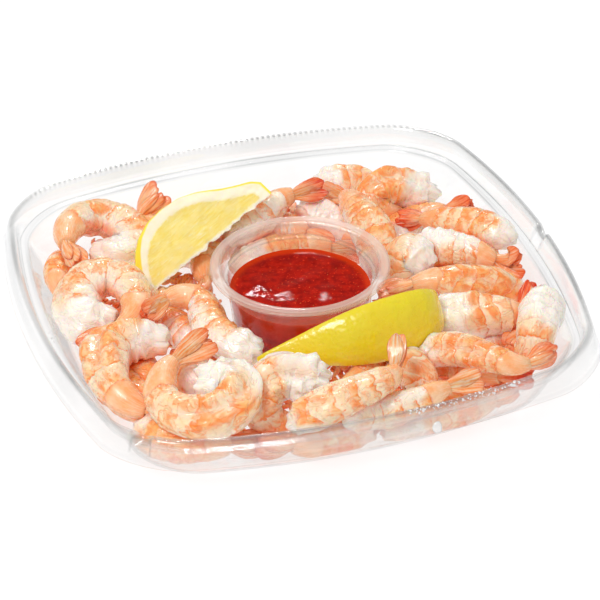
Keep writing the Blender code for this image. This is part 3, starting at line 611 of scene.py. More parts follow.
def flesh_material():
    p = Paint("shrimp_flesh_cooked")
    coord = p.attr("coord", "Vector")
    seg, dorsal, lip = p.attr("seg"), p.attr("dorsal"), p.attr("lip")
    wide = p.noise(coord, 0.75, 2.0, 0.5)
    mid = p.noise(coord, 2.0, 2.0, 0.5, 1.2)
    fine = p.noise(coord, 9.0, 2.0, 0.5)
    # where along a segment: 0 at its front, 1 at its rear edge
    wander = p.math("ADD", seg, p.math("MULTIPLY_ADD", mid, 0.60, -0.30))
    part = p.math("FRACT", wander)
    edge = p.math("PINGPONG", wander, 0.5)
    on_back = p.ramp(p.math("ADD", dorsal, p.math("MULTIPLY_ADD", wide, 0.8, -0.4)), -0.45, 0.60)
    flesh_only = p.math("SUBTRACT", 1.0, p.attr("pale"), clamp=True)
    # pale orange mottling, most on the back, by the lips of the slit and at the rear edge of each segment
    amount = p.math("MULTIPLY_ADD", on_back, 0.14, p.math("MULTIPLY_ADD", part, 0.17, p.math("MULTIPLY_ADD", wide, 0.52, p.math("MULTIPLY", mid, 0.32))))
    amount = p.math("ADD", amount, p.math("MULTIPLY_ADD", lip, 0.14, p.math("MULTIPLY_ADD", p.attr("orange"), 0.26, -0.13)))
    patch = p.math("MULTIPLY", p.ramp(amount, 0.55, 0.78), flesh_only)
    cream = p.mix(p.ramp(wide, 0.3, 0.7), (1.0, 0.68, 0.40), (1.0, 0.83, 0.63))
    belly = p.mix(p.ramp(wide, 0.35, 0.65), (1.0, 0.82, 0.67), (1.0, 0.91, 0.82))
    colour = p.mix(on_back, belly, cream)
    orange = p.mix(p.ramp(mid, 0.40, 0.62), (1.0, 0.43, 0.10), (1.0, 0.26, 0.028))
    colour = p.mix(p.math("MULTIPLY", patch, 0.90), colour, orange)
    # broken darker lines along segment edges, wrinkles and the rims of the patches
    line = p.math("MULTIPLY", p.ramp(edge, 0.070, 0.012), p.math("MULTIPLY", p.ramp(dorsal, -0.8, 0.2), p.ramp(p.noise(coord, 2.2, 1.0), 0.40, 0.52)))
    rim = p.math("MULTIPLY", p.ramp(p.math("ABSOLUTE", p.math("SUBTRACT", amount, 0.645)), 0.018, 0.004), p.ramp(p.noise(coord, 3.1, 1.0), 0.46, 0.60))
    wrinkle = p.math("ABSOLUTE", p.math("SUBTRACT", p.noise(coord, 1.6, 2.0, 0.5, 1.6), 0.5))
    crack = p.math("MULTIPLY", p.ramp(wrinkle, 0.015, 0.003), p.math("MULTIPLY", p.ramp(p.noise(coord, 1.4, 0.0), 0.53, 0.66), on_back))
    streak = p.math("MULTIPLY", p.math("MAXIMUM", line, p.math("MAXIMUM", p.math("MULTIPLY", rim, 0.75), crack)), flesh_only)
    colour = p.mix(p.math("MULTIPLY", streak, 0.85), colour, (0.96, 0.22, 0.020))
    white = p.mix(fine, (1.0, 0.86, 0.74), (1.0, 0.95, 0.90))
    colour = p.mix(p.math("MULTIPLY", p.attr("pale"), 0.92), colour, white)
    colour = p.mix(p.math("MULTIPLY", p.attr("slit"), 0.7), colour, p.mix(p.ramp(mid, 0.40, 0.62), (1.0, 0.78, 0.60), (1.0, 0.48, 0.20)))
    # painted shade: where the flesh lies close against a neighbour, inside a curl and near the floor (the 'deep'
    # attribute), its colour is pushed to a saturated deep orange, standing for the warm shade in the gaps of the heap
    near = p.math("MULTIPLY", p.attr("deep"), p.math("MULTIPLY_ADD", p.attr("pale"), -0.35, 0.85))
    colour = p.mix(near, colour, p.mix(p.ramp(mid, 0.40, 0.62), (1.0, 0.36, 0.10), (1.0, 0.17, 0.025)))
    fibre = p.noise(p.scaled(coord, (0.35, 2.2, 1.0)), 9.0, 2.0, 0.5)
    height = p.math("MULTIPLY_ADD", fine, 0.22, p.math("MULTIPLY_ADD", fibre, 0.25, p.math("MULTIPLY_ADD", mid, 1.1, p.math("MULTIPLY", p.ramp(wrinkle, 0.0, 0.04), 0.6))))
    rough = p.ramp(p.noise(coord, 4.0, 2.0), 0.3, 0.7, 0.18, 0.34)
    s = p.principled(Base_Color=colour, Roughness=rough, Normal=p.bump(height, 0.0010, 0.55), Subsurface_Weight=0.45, Subsurface_Scale=0.0050, Coat_Weight=0.35, Coat_Roughness=0.10, Specular_IOR_Level=0.5)
    s.inputs["Subsurface Radius"].default_value = (1.0, 0.40, 0.18)
    return p.finish(s.outputs[0])


def shell_material():
    """The last segment and the tail fan: smooth shell, peach to deep red at the tips, streaked lengthwise."""
    p = Paint("shrimp_tail_shell")
    coord = p.attr("coord", "Vector")
    tail, tint, outline = p.attr("tail"), p.attr("tint"), p.attr("outline")
    streaks = p.noise(p.scaled(coord, (0.20, 2.6, 1.0)), 5.5, 3.0, 0.6, 0.3)
    wide = p.noise(coord, 1.3, 2.0)
    base = p.mix(p.ramp(wide, 0.35, 0.68), (1.0, 0.42, 0.16), (1.0, 0.63, 0.38))
    warm = p.mix(p.ramp(streaks, 0.40, 0.60), (1.0, 0.30, 0.07), (1.0, 0.58, 0.32))
    deep = p.mix(p.ramp(streaks, 0.38, 0.62), (0.72, 0.040, 0.012), (1.0, 0.20, 0.06))
    far = p.math("ADD", p.math("MULTIPLY", tail, 0.80), p.math("MULTIPLY_ADD", wide, 0.30, p.math("MULTIPLY_ADD", tint, 0.90, -0.74)))
    colour = p.mix(p.ramp(tail, 0.0, 0.25), base, warm)
    colour = p.mix(p.ramp(far, 0.38, 0.98), colour, deep)
    pale = p.math("MULTIPLY", p.ramp(p.noise(p.scaled(coord, (0.14, 4.0, 1.0)), 7.0, 2.0), 0.56, 0.66), p.ramp(tail, 0.02, 0.2, 0.0, 0.65))
    colour = p.mix(pale, colour, (1.0, 0.78, 0.60))
    colour = p.mix(p.math("MULTIPLY", outline, p.ramp(streaks, 0.3, 0.6, 0.35, 0.85)), colour, (0.66, 0.080, 0.018))
    height = p.math("MULTIPLY_ADD", streaks, 1.0, p.math("MULTIPLY", wide, 0.3))
    rough = p.ramp(p.noise(coord, 5.0, 2.0), 0.3, 0.7, 0.18, 0.32)
    s = p.principled(Base_Color=colour, Roughness=rough, Normal=p.bump(height, 0.0005, 0.5), Subsurface_Weight=0.30, Subsurface_Scale=0.0030, Coat_Weight=0.40, Coat_Roughness=0.10)
    s.inputs["Subsurface Radius"].default_value = (1.0, 0.35, 0.15)
    return p.finish(s.outputs[0])


def sauce_material():
    p = Paint("cocktail_sauce_red")
    at = p.place()
    pulp = p.noise(at, 900.0, 2.0, 0.5)
    lumps = p.noise(at, 260.0, 3.0, 0.6)
    colour = p.mix(p.ramp(lumps, 0.3, 0.7), (0.25, 0.0030, 0.0006), (0.44, 0.0085, 0.0012))
    colour = p.mix(p.ramp(pulp, 0.60, 0.75), colour, (0.66, 0.030, 0.008))
    bits = p.voronoi(at, 420.0)
    colour = p.mix(p.ramp(bits, 0.10, 0.04), colour, (0.62, 0.17, 0.05))
    # painted light: the 'rim' attribute paints the sauce a brighter red on its side and towards the wall on its top,
    # standing in for light coming through the cup
    colour = p.mix(p.attr("rim"), colour, (0.66, 0.045, 0.004))
    height = p.math("MULTIPLY", p.math("MULTIPLY_ADD", pulp, 0.22, p.math("MULTIPLY", lumps, 0.9)), p.attr("lit"))
    s = p.principled(Base_Color=colour, Roughness=p.ramp(lumps, 0.35, 0.7, 0.02, 0.05), Normal=p.bump(height, 0.00042, 0.8), Subsurface_Weight=0.12, Subsurface_Scale=0.002, Specular_IOR_Level=0.10)
    s.inputs["Subsurface Radius"].default_value = (1.0, 0.15, 0.05)
    return p.finish(s.outputs[0])


def lemon_rind_material():
    p = Paint("lemon_rind")
    at = p.place()
    pores = p.voronoi(at, 620.0, "SMOOTH_F1")
    dents = p.noise(at, 210.0, 3.0, 0.6)
    tone = p.noise(at, 42.0, 2.0)
    green = p.attr("green")
    colour = p.mix(p.ramp(tone, 0.3, 0.7), (0.94, 0.60, 0.003), (0.90, 0.66, 0.006))
    colour = p.mix(p.math("MULTIPLY", green, 0.45), colour, (0.66, 0.66, 0.016))
    colour = p.mix(p.ramp(pores, 0.30, 0.12, 0.0, 0.22), colour, (0.86, 0.60, 0.010))
    height = p.math("MULTIPLY_ADD", pores, 0.8, p.math("MULTIPLY", dents, 1.2))
    s = p.principled(Base_Color=colour, Roughness=p.ramp(dents, 0.3, 0.7, 0.22, 0.36), Normal=p.bump(height, 0.0007, 0.40), Subsurface_Weight=0.15, Subsurface_Scale=0.002, Coat_Weight=0.6, Coat_Roughness=0.12)
    s.inputs["Subsurface Radius"].default_value = (1.0, 0.7, 0.1)
    return p.finish(s.outputs[0])


def lemon_cut_material():
    p = Paint("lemon_cut_face")
    depth, inner = p.attr("rind_mm"), p.attr("core_mm")
    coord = p.attr("face", "Vector")
    ragged = p.noise(coord, 0.55, 3.0, 0.6)
    sacs = p.noise(p.scaled(coord, (0.22, 1.0, 1.0), (0, 0, math.radians(-38))), 0.95, 3.0, 0.6, 0.8)
    cells = p.noise(coord, 0.20, 2.0, 0.5)
    pulp = p.mix(p.ramp(sacs, 0.34, 0.66), (0.90, 0.70, 0.14), (0.93, 0.78, 0.26))
    pulp = p.mix(p.ramp(cells, 0.35, 0.7, 0.0, 0.5), pulp, (0.93, 0.78, 0.32))
    shine = p.ramp(sacs, 0.60, 0.74, 0.0, 0.6)
    pulp = p.mix(shine, pulp, (0.95, 0.86, 0.55))
    pith = p.mix(ragged, (0.93, 0.85, 0.56), (0.94, 0.89, 0.74))
    wall = p.math("ADD", depth, p.math("MULTIPLY", ragged, 1.6))
    colour = p.mix(p.ramp(wall, 5.6, 7.0), pith, pulp)
    colour = p.mix(p.ramp(p.math("ADD", inner, p.math("MULTIPLY", ragged, 2.0)), 3.4, 1.9), colour, (0.94, 0.88, 0.68))
    low = p.math("MULTIPLY", p.attr("low"), 1.9)
    colour = p.mix(p.ramp(p.math("SUBTRACT", depth, low), 1.45, 0.75), colour, p.mix(p.attr("low"), (0.93, 0.78, 0.06), (0.92, 0.68, 0.020)))
    height = p.math("MULTIPLY", sacs, p.ramp(wall, 5.6, 7.4))
    s = p.principled(Base_Color=colour, Roughness=p.ramp(wall, 5.0, 7.0, 0.50, 0.25), Normal=p.bump(height, 0.0007, 0.55), Subsurface_Weight=0.35, Subsurface_Scale=0.004)
    s.inputs["Subsurface Radius"].default_value = (1.0, 0.8, 0.25)
    return p.finish(s.outputs[0])


def sheet_material(name, straight, slanted, grey, milk, rough, shine=0.035, wave=0.0, milk_and_reflected_colour=(0.93, 0.90, 0.88), veil=False, dashes=False):
    """Thin clear plastic: it lets most light straight through, less where it is seen edge on, and mirrors as plastic does."""
    p = Paint(name)
    at = p.place()
    facing = p.node("LayerWeight")
    facing.inputs["Blend"].default_value = 0.5
    angle = facing.outputs["Facing"]
    see = p.node("BsdfTransparent")
    tint = p.mix(p.ramp(angle, 0.62, 0.98), straight, slanted)
    if veil:
        # painted shade: the 'bend' attribute darkens the see-through colour to grey, standing for the dark refraction
        # lines of clear plastic along its bends
        lines = p.attr("bend")
        if dashes:
            apart = p.node("SeparateXYZ")
            p.join(at, apart.inputs[0])
            gap = p.ramp(p.math("SINE", p.math("MULTIPLY", apart.outputs[0], 2600.0)), -0.25, 0.15)
            lines = p.math("MULTIPLY", lines, p.math("SUBTRACT", 1.0, p.math("MULTIPLY", p.attr("edge"), gap)))
        tint = p.mix(lines, tint, (0.34, 0.35, 0.355))
    p.put(see.inputs["Color"], tint)
    normal = None
    if wave:
        normal = p.bump(p.noise(at, 75.0, 2.0), 0.001, wave)
    mirror = p.node("BsdfGlossy")
    mirror.inputs["Color"].default_value = (*grey, 1.0)
    mirror.inputs["Roughness"].default_value = rough
    if normal is not None:
        p.join(normal, mirror.inputs["Normal"])
        p.join(normal, facing.inputs["Normal"])
    both = p.node("MixShader")
    body = see.outputs[0]
    if milk:
        cloud = p.principled(Base_Color=milk_and_reflected_colour, Roughness=0.4)
        haze = p.node("MixShader")
        share = p.math("MULTIPLY", p.ramp(angle, 0.1, 1.0, milk[0], milk[1]), p.ramp(p.noise(at, 55.0, 2.0), 0.2, 0.8, 0.85, 1.1))
        if veil:
            share = p.math("ADD", share, p.attr("veil"), clamp=True)
        p.put(haze.inputs[0], share)
        p.join(see.outputs[0], haze.inputs[1])
        p.join(cloud.outputs[0], haze.inputs[2])
        body = haze.outputs[0]
    p.put(both.inputs[0], p.math("MULTIPLY_ADD", p.math("POWER", angle, 4.0), 0.80, shine))
    p.join(body, both.inputs[1])
    p.join(mirror.outputs[0], both.inputs[2])
    return p.finish(both.outputs[0])


def drop_material():
    p = Paint("water_drop")
    facing = p.node("LayerWeight")
    facing.inputs["Blend"].default_value = 0.5
    see = p.node("BsdfTransparent")
    p.put(see.inputs["Color"], p.mix(p.ramp(facing.outputs["Facing"], 0.25, 0.9), (0.97, 0.98, 0.98), (0.45, 0.47, 0.48)))
    # painted reflection: a white share, greyer at the edges, stands for the bright surroundings seen through the drop
    painted_refraction = p.principled(Base_Color=p.mix(p.ramp(facing.outputs["Facing"], 0.45, 0.95), (0.98, 0.98, 0.98), (0.42, 0.43, 0.43)), Roughness=0.15)
    body = p.node("MixShader")
    body.inputs[0].default_value = 0.62
    p.join(see.outputs[0], body.inputs[1])
    p.join(painted_refraction.outputs[0], body.inputs[2])
    mirror = p.node("BsdfGlossy")
    mirror.inputs["Roughness"].default_value = 0.03
    both = p.node("MixShader")
    p.put(both.inputs[0], p.math("MULTIPLY_ADD", p.noise(p.place(), 900.0, 1.0), 0.04, p.math("MULTIPLY_ADD", p.math("POWER", facing.outputs["Facing"], 4.0), 0.80, 0.03)))
    p.join(body.outputs[0], both.inputs[1])
    p.join(mirror.outputs[0], both.inputs[2])
    return p.finish(both.outputs[0])


# ---------------------------------------------------------------- the tray
NOTCHES = ((139, 446, 28), (537, 236, 28))


def tray_rows():
    """The sheet's section as fine rows (half, height, corner, bulge), from the outer lip inward to the floor, corners rounded."""
    rows = [np.array(r, float) for r in TRAY_RINGS]
    rows.insert(5, np.array((0.8995, 0.1955, 0.1975, 0.0972)))
    rows.insert(7, np.array((0.914, 0.2045, 0.1982, 0.103)))
    rows.insert(8, np.array((0.932, 0.2020, 0.1958, 0.110)))
    rows = [np.array((0.45, 0.0045, 0.10, 0.05)), np.array((0.62, 0.0045, 0.11, 0.07)), np.array((0.655, 0.001, 0.115, 0.078))] + rows
    for _ in range(2):
        out = [rows[0]]
        for a, b in zip(rows[:-1], rows[1:]):
            out += [0.78 * a + 0.22 * b, 0.22 * a + 0.78 * b]
        out.append(rows[-1])
        rows = out
    return np.array(rows)


def bends_of(line):
    """0 to 1 along a section: how sharply it bends at each point."""
    t = np.gradient(line, axis=0)
    t /= np.linalg.norm(t, axis=1)[:, None] + 1e-12
    turn = np.arccos(np.clip((t[:-1] * t[1:]).sum(axis=1), -1, 1))
    turn = np.concatenate([[0], 0.5 * (turn[:-1] + turn[1:]), [0]])
    reach = np.linalg.norm(np.gradient(line, axis=0), axis=1) + 1e-6
    return np.clip(turn / reach / 900.0, 0, 1)


def make_tray(mat):
    fine = 1600
    rows = tray_rows()
    line = rows[:, :2] * TRAY_HALF
    t = np.gradient(line, axis=0)
    t /= np.linalg.norm(t, axis=1)[:, None]
    up = np.stack([-t[:, 1], t[:, 0]], axis=1)
    bend = bends_of(line)
    notches = [spot(*n)[:2] for n in NOTCHES]
    rim = np.array(square_ring(0.96 * TRAY_HALF, 0.186 * TRAY_HALF, 0.125 * TRAY_HALF, fine))
    near = np.min([np.linalg.norm(rim - n, axis=1) for n in notches], axis=0)
    keep = [k for k in range(fine) if k % 8 == 0 or (near[k] < 0.0125 and k % 1 == 0)]
    # the corners are already fine: every eighth point is kept all round, and every point near a notch
    count = len(keep)
    sheets, veils, greys, edges = [], [], [], []
    for shift in (0.0, 0.00060):
        rings, veil, grey, edge = [], [], [], []
        for (half, z, corner, bulge), normal, turned in zip(rows, up, bend):
            xy = np.array(square_ring(half * TRAY_HALF + normal[0] * shift, corner * TRAY_HALF, bulge * TRAY_HALF, fine))[keep]
            zz = np.full(count, z * TRAY_HALF + normal[1] * shift + (0.00005 if shift == 0 else 0.0))
            q = np.column_stack([xy, zz])
            zz = zz + 0.00010 * noise(q, 0.013, 2) * (half < 0.9) * (z > 0.01)
            if z > 0.206 and half > 0.93:
                for n in notches:
                    d = np.linalg.norm(xy - n, axis=1)
                    zz -= 0.55 * (z - 0.206) * TRAY_HALF * (1 - ramp(d, 0.0026, 0.0060))
            rings.append(np.column_stack([xy, zz]))
            cloud = 0.5 + 0.5 * noise(q, 0.022, 6)
            level = 0.003 + 0.030 * float(ramp(z, 0.010, 0.05)) * float(1 - ramp(half, 0.90, 0.905)) + 0.035 * float(ramp(half, 0.955, 0.966)) * float(1 - ramp(half, 0.986, 0.992))
            veil.append(level * (0.7 + 0.6 * cloud))
            # painted shade: grey lines along the sheet's bends, a grey band on the ridge and rings round the notches,
            # standing for the dark refraction lines of clear plastic
            painted_ridge_shade = 0.13 * float(ramp(half, 0.972, 0.980)) * float(1 - ramp(half, 0.988, 0.990)) + 0.10 * float(ramp(half, 0.9985, 1.0))
            painted_edge_shade = (0.42 * turned ** 1.6 + 0.8 * painted_ridge_shade) * (0.45 + 0.55 * ramp(noise(q, 0.030, 9), -0.5, 0.5))
            for n in notches:
                d = np.linalg.norm(xy - n, axis=1)
                painted_edge_shade = painted_edge_shade + 0.22 * np.exp(-((d - 0.0044) / 0.0004) ** 2) * (0.93 < half < 0.985)
            grey.append(painted_edge_shade)
            edge.append(float(ramp(z, rows[:, 1].max() - 0.02, rows[:, 1].max() - 0.012)) * ramp(xy[:, 1], 0.090, 0.095))
        sheets.append(rings)
        veils.append(veil)
        greys.append(grey)
        edges.append(edge)
    rings = sheets[0] + sheets[1][::-1]
    veil = veils[0] + veils[1][::-1]
    grey = greys[0] + greys[1][::-1]
    verts = np.vstack(rings)
    middle = [verts[:count].mean(axis=0), verts[-count:].mean(axis=0)]
    verts = np.vstack([verts, middle])
    faces = tube_faces(len(rings), count)
    if not outward(verts, faces):
        faces = [f[::-1] for f in faces]
    return piece("clear_tray", verts, faces, [mat], values={"veil": np.concatenate(veil + [[0.01, 0.01]]), "bend": np.clip(np.concatenate(grey + [[0.0, 0.0]]), 0, 1), "edge": np.concatenate(edges[0] + edges[1][::-1] + [[0.0, 0.0]])}, sharp=60)


# ---------------------------------------------------------------- the cup and its sauce
def round_line(points, times=3, keep=0.22):
    rows = [np.array(q, float) for q in points]
    for _ in range(times):
        out = [rows[0]]
        for a, b in zip(rows[:-1], rows[1:]):
            out += [(1 - keep) * a + keep * b, keep * a + (1 - keep) * b]
        out.append(rows[-1])
        rows = out
    return np.array(rows)


def make_cup(mat):
    count = 128
    outer = [(0.001, CUP_BASE + 0.0009), (0.019, CUP_BASE + 0.0009), (0.0215, CUP_BASE + 0.0001), (0.0262, CUP_BASE), (0.0275, CUP_BASE + 0.0009), (0.0303, 0.0284), (0.0304, 0.0290), (0.0318, 0.0296), (0.0321, 0.0302), (0.0330, 0.0334), (0.0334, 0.0341), (0.0366, 0.0344), (0.0370, 0.0340), (0.0372, 0.0344), (0.0371, 0.0358), (0.0364, 0.0363)]
    inner = [(0.0352, 0.0360), (0.0341, 0.0362), (0.0332, 0.0359), (0.0325, 0.0350), (0.0323, 0.0342), (0.0312, 0.0310), (0.0308, 0.0305), (0.0298, 0.0299), (0.0295, 0.0292), (0.0268, CUP_BASE + 0.0022), (0.0255, CUP_BASE + 0.0010), (0.001, CUP_BASE + 0.0018)]
    line = round_line(outer + inner)
    a = np.linspace(0, 2 * math.pi, count, endpoint=False)
    rings = [np.column_stack([CUP_X + r * np.cos(a), CUP_Y + r * np.sin(a), np.full(count, z)]) for r, z in line]
    veil = np.concatenate([np.full(count, 0.004 + 0.07 * float(ramp(z, SAUCE_LEVEL, SAUCE_LEVEL + 0.002)) + 0.15 * float(ramp(z, 0.0325, 0.0342)) + 0.10 * float(ramp(z, 0.0357, 0.0361))) for r, z in line] + [[0.004, 0.004]])
    # painted shade: grey lines along the cup's bends, as on the tray
    bend = np.concatenate([np.full(count, 0.22 * k) for k in bends_of(line)] + [[0.0, 0.0]])
    verts = np.vstack(rings + [[(CUP_X, CUP_Y, line[0][1])], [(CUP_X, CUP_Y, line[-1][1])]])
    faces = tube_faces(len(rings), count)
    if not outward(verts, faces):
        faces = [f[::-1] for f in faces]
    return piece("portion_cup", verts, faces, [mat], values={"veil": veil, "bend": bend}, sharp=60)


def make_sauce(mat):
    count = 144
    def wall(z):
        return float(np.interp(z, (0.0022, 0.0034, 0.0292), (0.0255, 0.0268, 0.0295))) + 0.00015
    low = CUP_BASE + 0.0013
    profile = [(0.0253, low), (0.0262, low + 0.0012)] + [(wall(z), z) for z in np.linspace(0.0045, SAUCE_LEVEL + 0.0004, 7)]
    tops = [wall(SAUCE_LEVEL)] + list(np.linspace(0.0288, 0.0008, 44))
    a = np.linspace(0, 2 * math.pi, count, endpoint=False)
    # where its skin is rippled and glints, by the front and on the right
    middle = np.array([CUP_X, CUP_Y])
    wet = [(spot(x, y, SAUCE_LEVEL * 1000)[:2] - middle, size, much) for x, y, size, much in ((262, 292, 0.0060, 1.0), (290, 298, 0.0050, 1.0), (328, 297, 0.0030, 0.9), (352, 290, 0.0035, 0.5), (312, 262, 0.0035, 0.4))]
    mounds = [(spot(x, y, SAUCE_LEVEL * 1000)[:2] - middle, size, much) for x, y, size, much in ((263, 283, 0.0070, 1.0), (290, 289, 0.0058, 0.9), (328, 290, 0.0038, 0.6), (313, 256, 0.0042, 0.35))]
    rings, rim, lit = [], [], []
    for r, z in profile:
        lit.append(np.full(count, 0.3))
        rings.append(np.column_stack([r * np.cos(a), r * np.sin(a), np.full(count, z)]))
        # painted light: the side is painted a brighter red, most in its upper band
        rim.append(np.full(count, 0.55 * float(ramp(z, 0.015, 0.0225))))
    for r in tops:
        x, y = r * np.cos(a), r * np.sin(a)
        q = np.column_stack([x, y, np.zeros(count)])
        glint = np.clip(sum(much * np.exp(-((x - at[0]) ** 2 + (y - at[1]) ** 2) / size ** 2) for at, size, much in wet), 0, 1)
        lit.append(0.10 + 0.75 * glint)
        mound = sum(much * np.exp(-((x - at[0]) ** 2 + (y - at[1]) ** 2) / size ** 2) for at, size, much in mounds)
        z = SAUCE_LEVEL + 0.40 * np.array([sauce_height(u, v) for u, v in zip(x, y)]) + 0.00070 * mound + 0.00008 * noise(q, 0.0095, 3) + (0.04 + 0.96 * glint) * (0.00016 * noise(q, 0.0030, 4) + 0.00008 * noise(q, 0.0015, 5))
        # a shallow dent where the spoon left it, and a smooth swirl round it
        d = np.hypot(x + 0.004, y + 0.006) + 0.0016 * noise(q, 0.006, 8)
        z += 0.00012 * np.cos(d / 0.0046) * np.exp(-(d / 0.016) ** 2)
        z += 0.0010 * ramp(r, 0.0276, 0.0296)
        rings.append(np.column_stack([x, y, z]))
        # painted light: the top is painted a brighter red towards the wall
        rim.append(np.full(count, 0.85 * float(ramp(r, 0.0255, 0.0292))))
    verts = np.vstack(rings) + np.array([CUP_X, CUP_Y, 0.0])
    ends = np.array([[CUP_X, CUP_Y, low], [CUP_X, CUP_Y, verts[-count:, 2].mean()]])
    verts = np.vstack([verts, ends])
    faces = tube_faces(len(rings), count)
    if not outward(verts, faces):
        faces = [f[::-1] for f in faces]
    return piece("sauce", verts, faces, [mat], values={"rim": np.concatenate(rim + [[0.0, 0.0]]), "lit": np.concatenate(lit + [[0.3, 0.3]])}, sharp=70)


# ---------------------------------------------------------------- lemon wedges
def smooth_share(at, shares, s):
    """The table's line, rounded."""
    fine = np.linspace(0, 1, 401)
    y = np.interp(fine, at, shares)
    for _ in range(40):
        y[1:-1] += 0.25 * (y[:-2] + y[2:] - 2 * y[1:-1])
    return np.interp(s, fine, y)


def make_wedge(name, label, rind_mat, cut_mat, seed):
    p, q, axis, out, side, opening, radius = lemon_frame(name)
    span = float(np.linalg.norm(q - p))
    at, shares = LEMON_ALONG[name]
    s = np.concatenate([np.linspace(0, 0.06, 9)[:-1], np.linspace(0.06, 0.94, 84), np.linspace(0.94, 1.0, 9)[1:]])
    big = radius * smooth_share(at, shares, s)
    face_n, arc_n = 26, 34
    edge = np.column_stack([s * span, big])          # the rind's edge on the cut face
    verts, values = [], {"rind_mm": [], "core_mm": [], "green": [], "low": []}
    face_xy = []
    kinds = []
    for k, (u, here) in enumerate(zip(s, big)):
        at_axis = p + axis * u * span
        ring, kind, flat = [], [], []
        for j in range(face_n):                      # out along one cut face
            r = here * (j / face_n)
            ring.append((r, -opening / 2)); kind.append(0)
        for j in range(arc_n + 1):                   # round the rind
            turn = opening * (j / arc_n - 0.5)
            ring.append((here * (1 - 0.035 * abs(2 * j / arc_n - 1) ** 6), turn)); kind.append(1)
        for j in range(face_n - 1, 0, -1):           # back along the other cut face
            r = here * (j / face_n)
            ring.append((r, opening / 2)); kind.append(2)
        ring = np.array(ring)
        pts = at_axis + ring[:, :1] * (np.cos(ring[:, 1:]) * out + np.sin(ring[:, 1:]) * side)
        verts.append(pts)
        kinds.append(kind)
        xy = np.column_stack([np.full(len(ring), u * span), ring[:, 0]])
        face_xy.append(np.column_stack([xy * 1000, np.full(len(ring), seed * 13.0 + (ring[:, 1] > 0) * 40.0)]))
        d = np.sqrt(((xy[:, None, :] - edge[None, :, :]) ** 2).sum(axis=2)).min(axis=1) * 1000
        d = np.where(np.array(kind) == 1, 0, d)
        end_near = np.minimum(u, 1 - u) * span * 1000
        values["rind_mm"].append(np.minimum(d, end_near * 1.0 + (1.2 if "front" in name else 0.0)))
        values["core_mm"].append(ring[:, 0] * 1000)
        values["low"].append(np.full(len(ring), 0.0 if "front" in name else float(1 - ramp(np.array([u if p[0] < q[0] else 1 - u]), 0.05, 0.38)[0])))
        values["green"].append(np.clip(0.45 + 0.8 * (0.5 - u) + (0.9 if "front" in name else 0.3) * (pts[:, 2] - at_axis[2] + 0.006) / 0.012 * 0.5 + 0.4 * noise(pts, 0.02, seed), 0, 1))
    count = len(ring)
    v = np.vstack(verts)
    kinds = np.concatenate(kinds)
    # the cut faces bow and ripple a little, the straight inner edge is ragged, the rind is uneven
    r = np.concatenate(values["core_mm"]) * 0.001
    grow = np.clip(np.concatenate(values["rind_mm"]) / 3.0, 0, 1)
    normal_a = -(np.cos(opening / 2) * side + np.sin(opening / 2) * out)
    normal_b = np.cos(opening / 2) * side - np.sin(opening / 2) * out
    ripple = 0.00045 * noise(v, 0.0042, seed + 1) + 0.00022 * noise(v, 0.0016, seed + 2)
    pulp = np.clip((np.concatenate(values["rind_mm"]) - 5.0) / 1.5, 0, 1) * 0.0004
    v += np.where(kinds == 0, grow * (ripple - pulp), 0)[:, None] * normal_a + np.where(kinds == 2, grow * (ripple - pulp), 0)[:, None] * normal_b
    ragged = np.exp(-(r / 0.0016) ** 2)
    v += ragged[:, None] * (0.0011 * noise(v, 0.0030, seed + 3) + 0.0006 * noise(v, 0.0012, seed + 4))[:, None] * out
    v += np.where(kinds == 1, 0.00035 * noise(v, 0.009, seed + 5) + 0.00012 * noise(v, 0.0025, seed + 6), 0)[:, None] * (v - (p + axis * (((v - p) @ axis)[:, None]))) / 0.02
    ends = [v[:count].mean(axis=0), v[-count:].mean(axis=0)]
    v = np.vstack([v, ends])
    faces = tube_faces(len(s), count)
    if not outward(v, faces):
        faces = [f[::-1] for f in faces]
    kind_all = np.concatenate([kinds, [0, 0]])
    slots = []
    for f in faces:
        ks = kind_all[list(f)]
        slots.append(0 if (ks == 1).all() else 1)
    flat_ends = len(faces) - 2 * count
    for i in range(flat_ends, len(faces)):
        slots[i] = 1
    vals = {k: np.concatenate(x + [[0.6, 0.6] if k == "rind_mm" else [4.0, 4.0] if k == "core_mm" else [0.5, 0.5]]) for k, x in values.items()}
    return piece(label, v, faces, [rind_mat, cut_mat], slots=slots, values=vals, vectors={"face": np.vstack(face_xy + [[[0, 0, 0], [0, 0, 0]]])}, sharp=38)


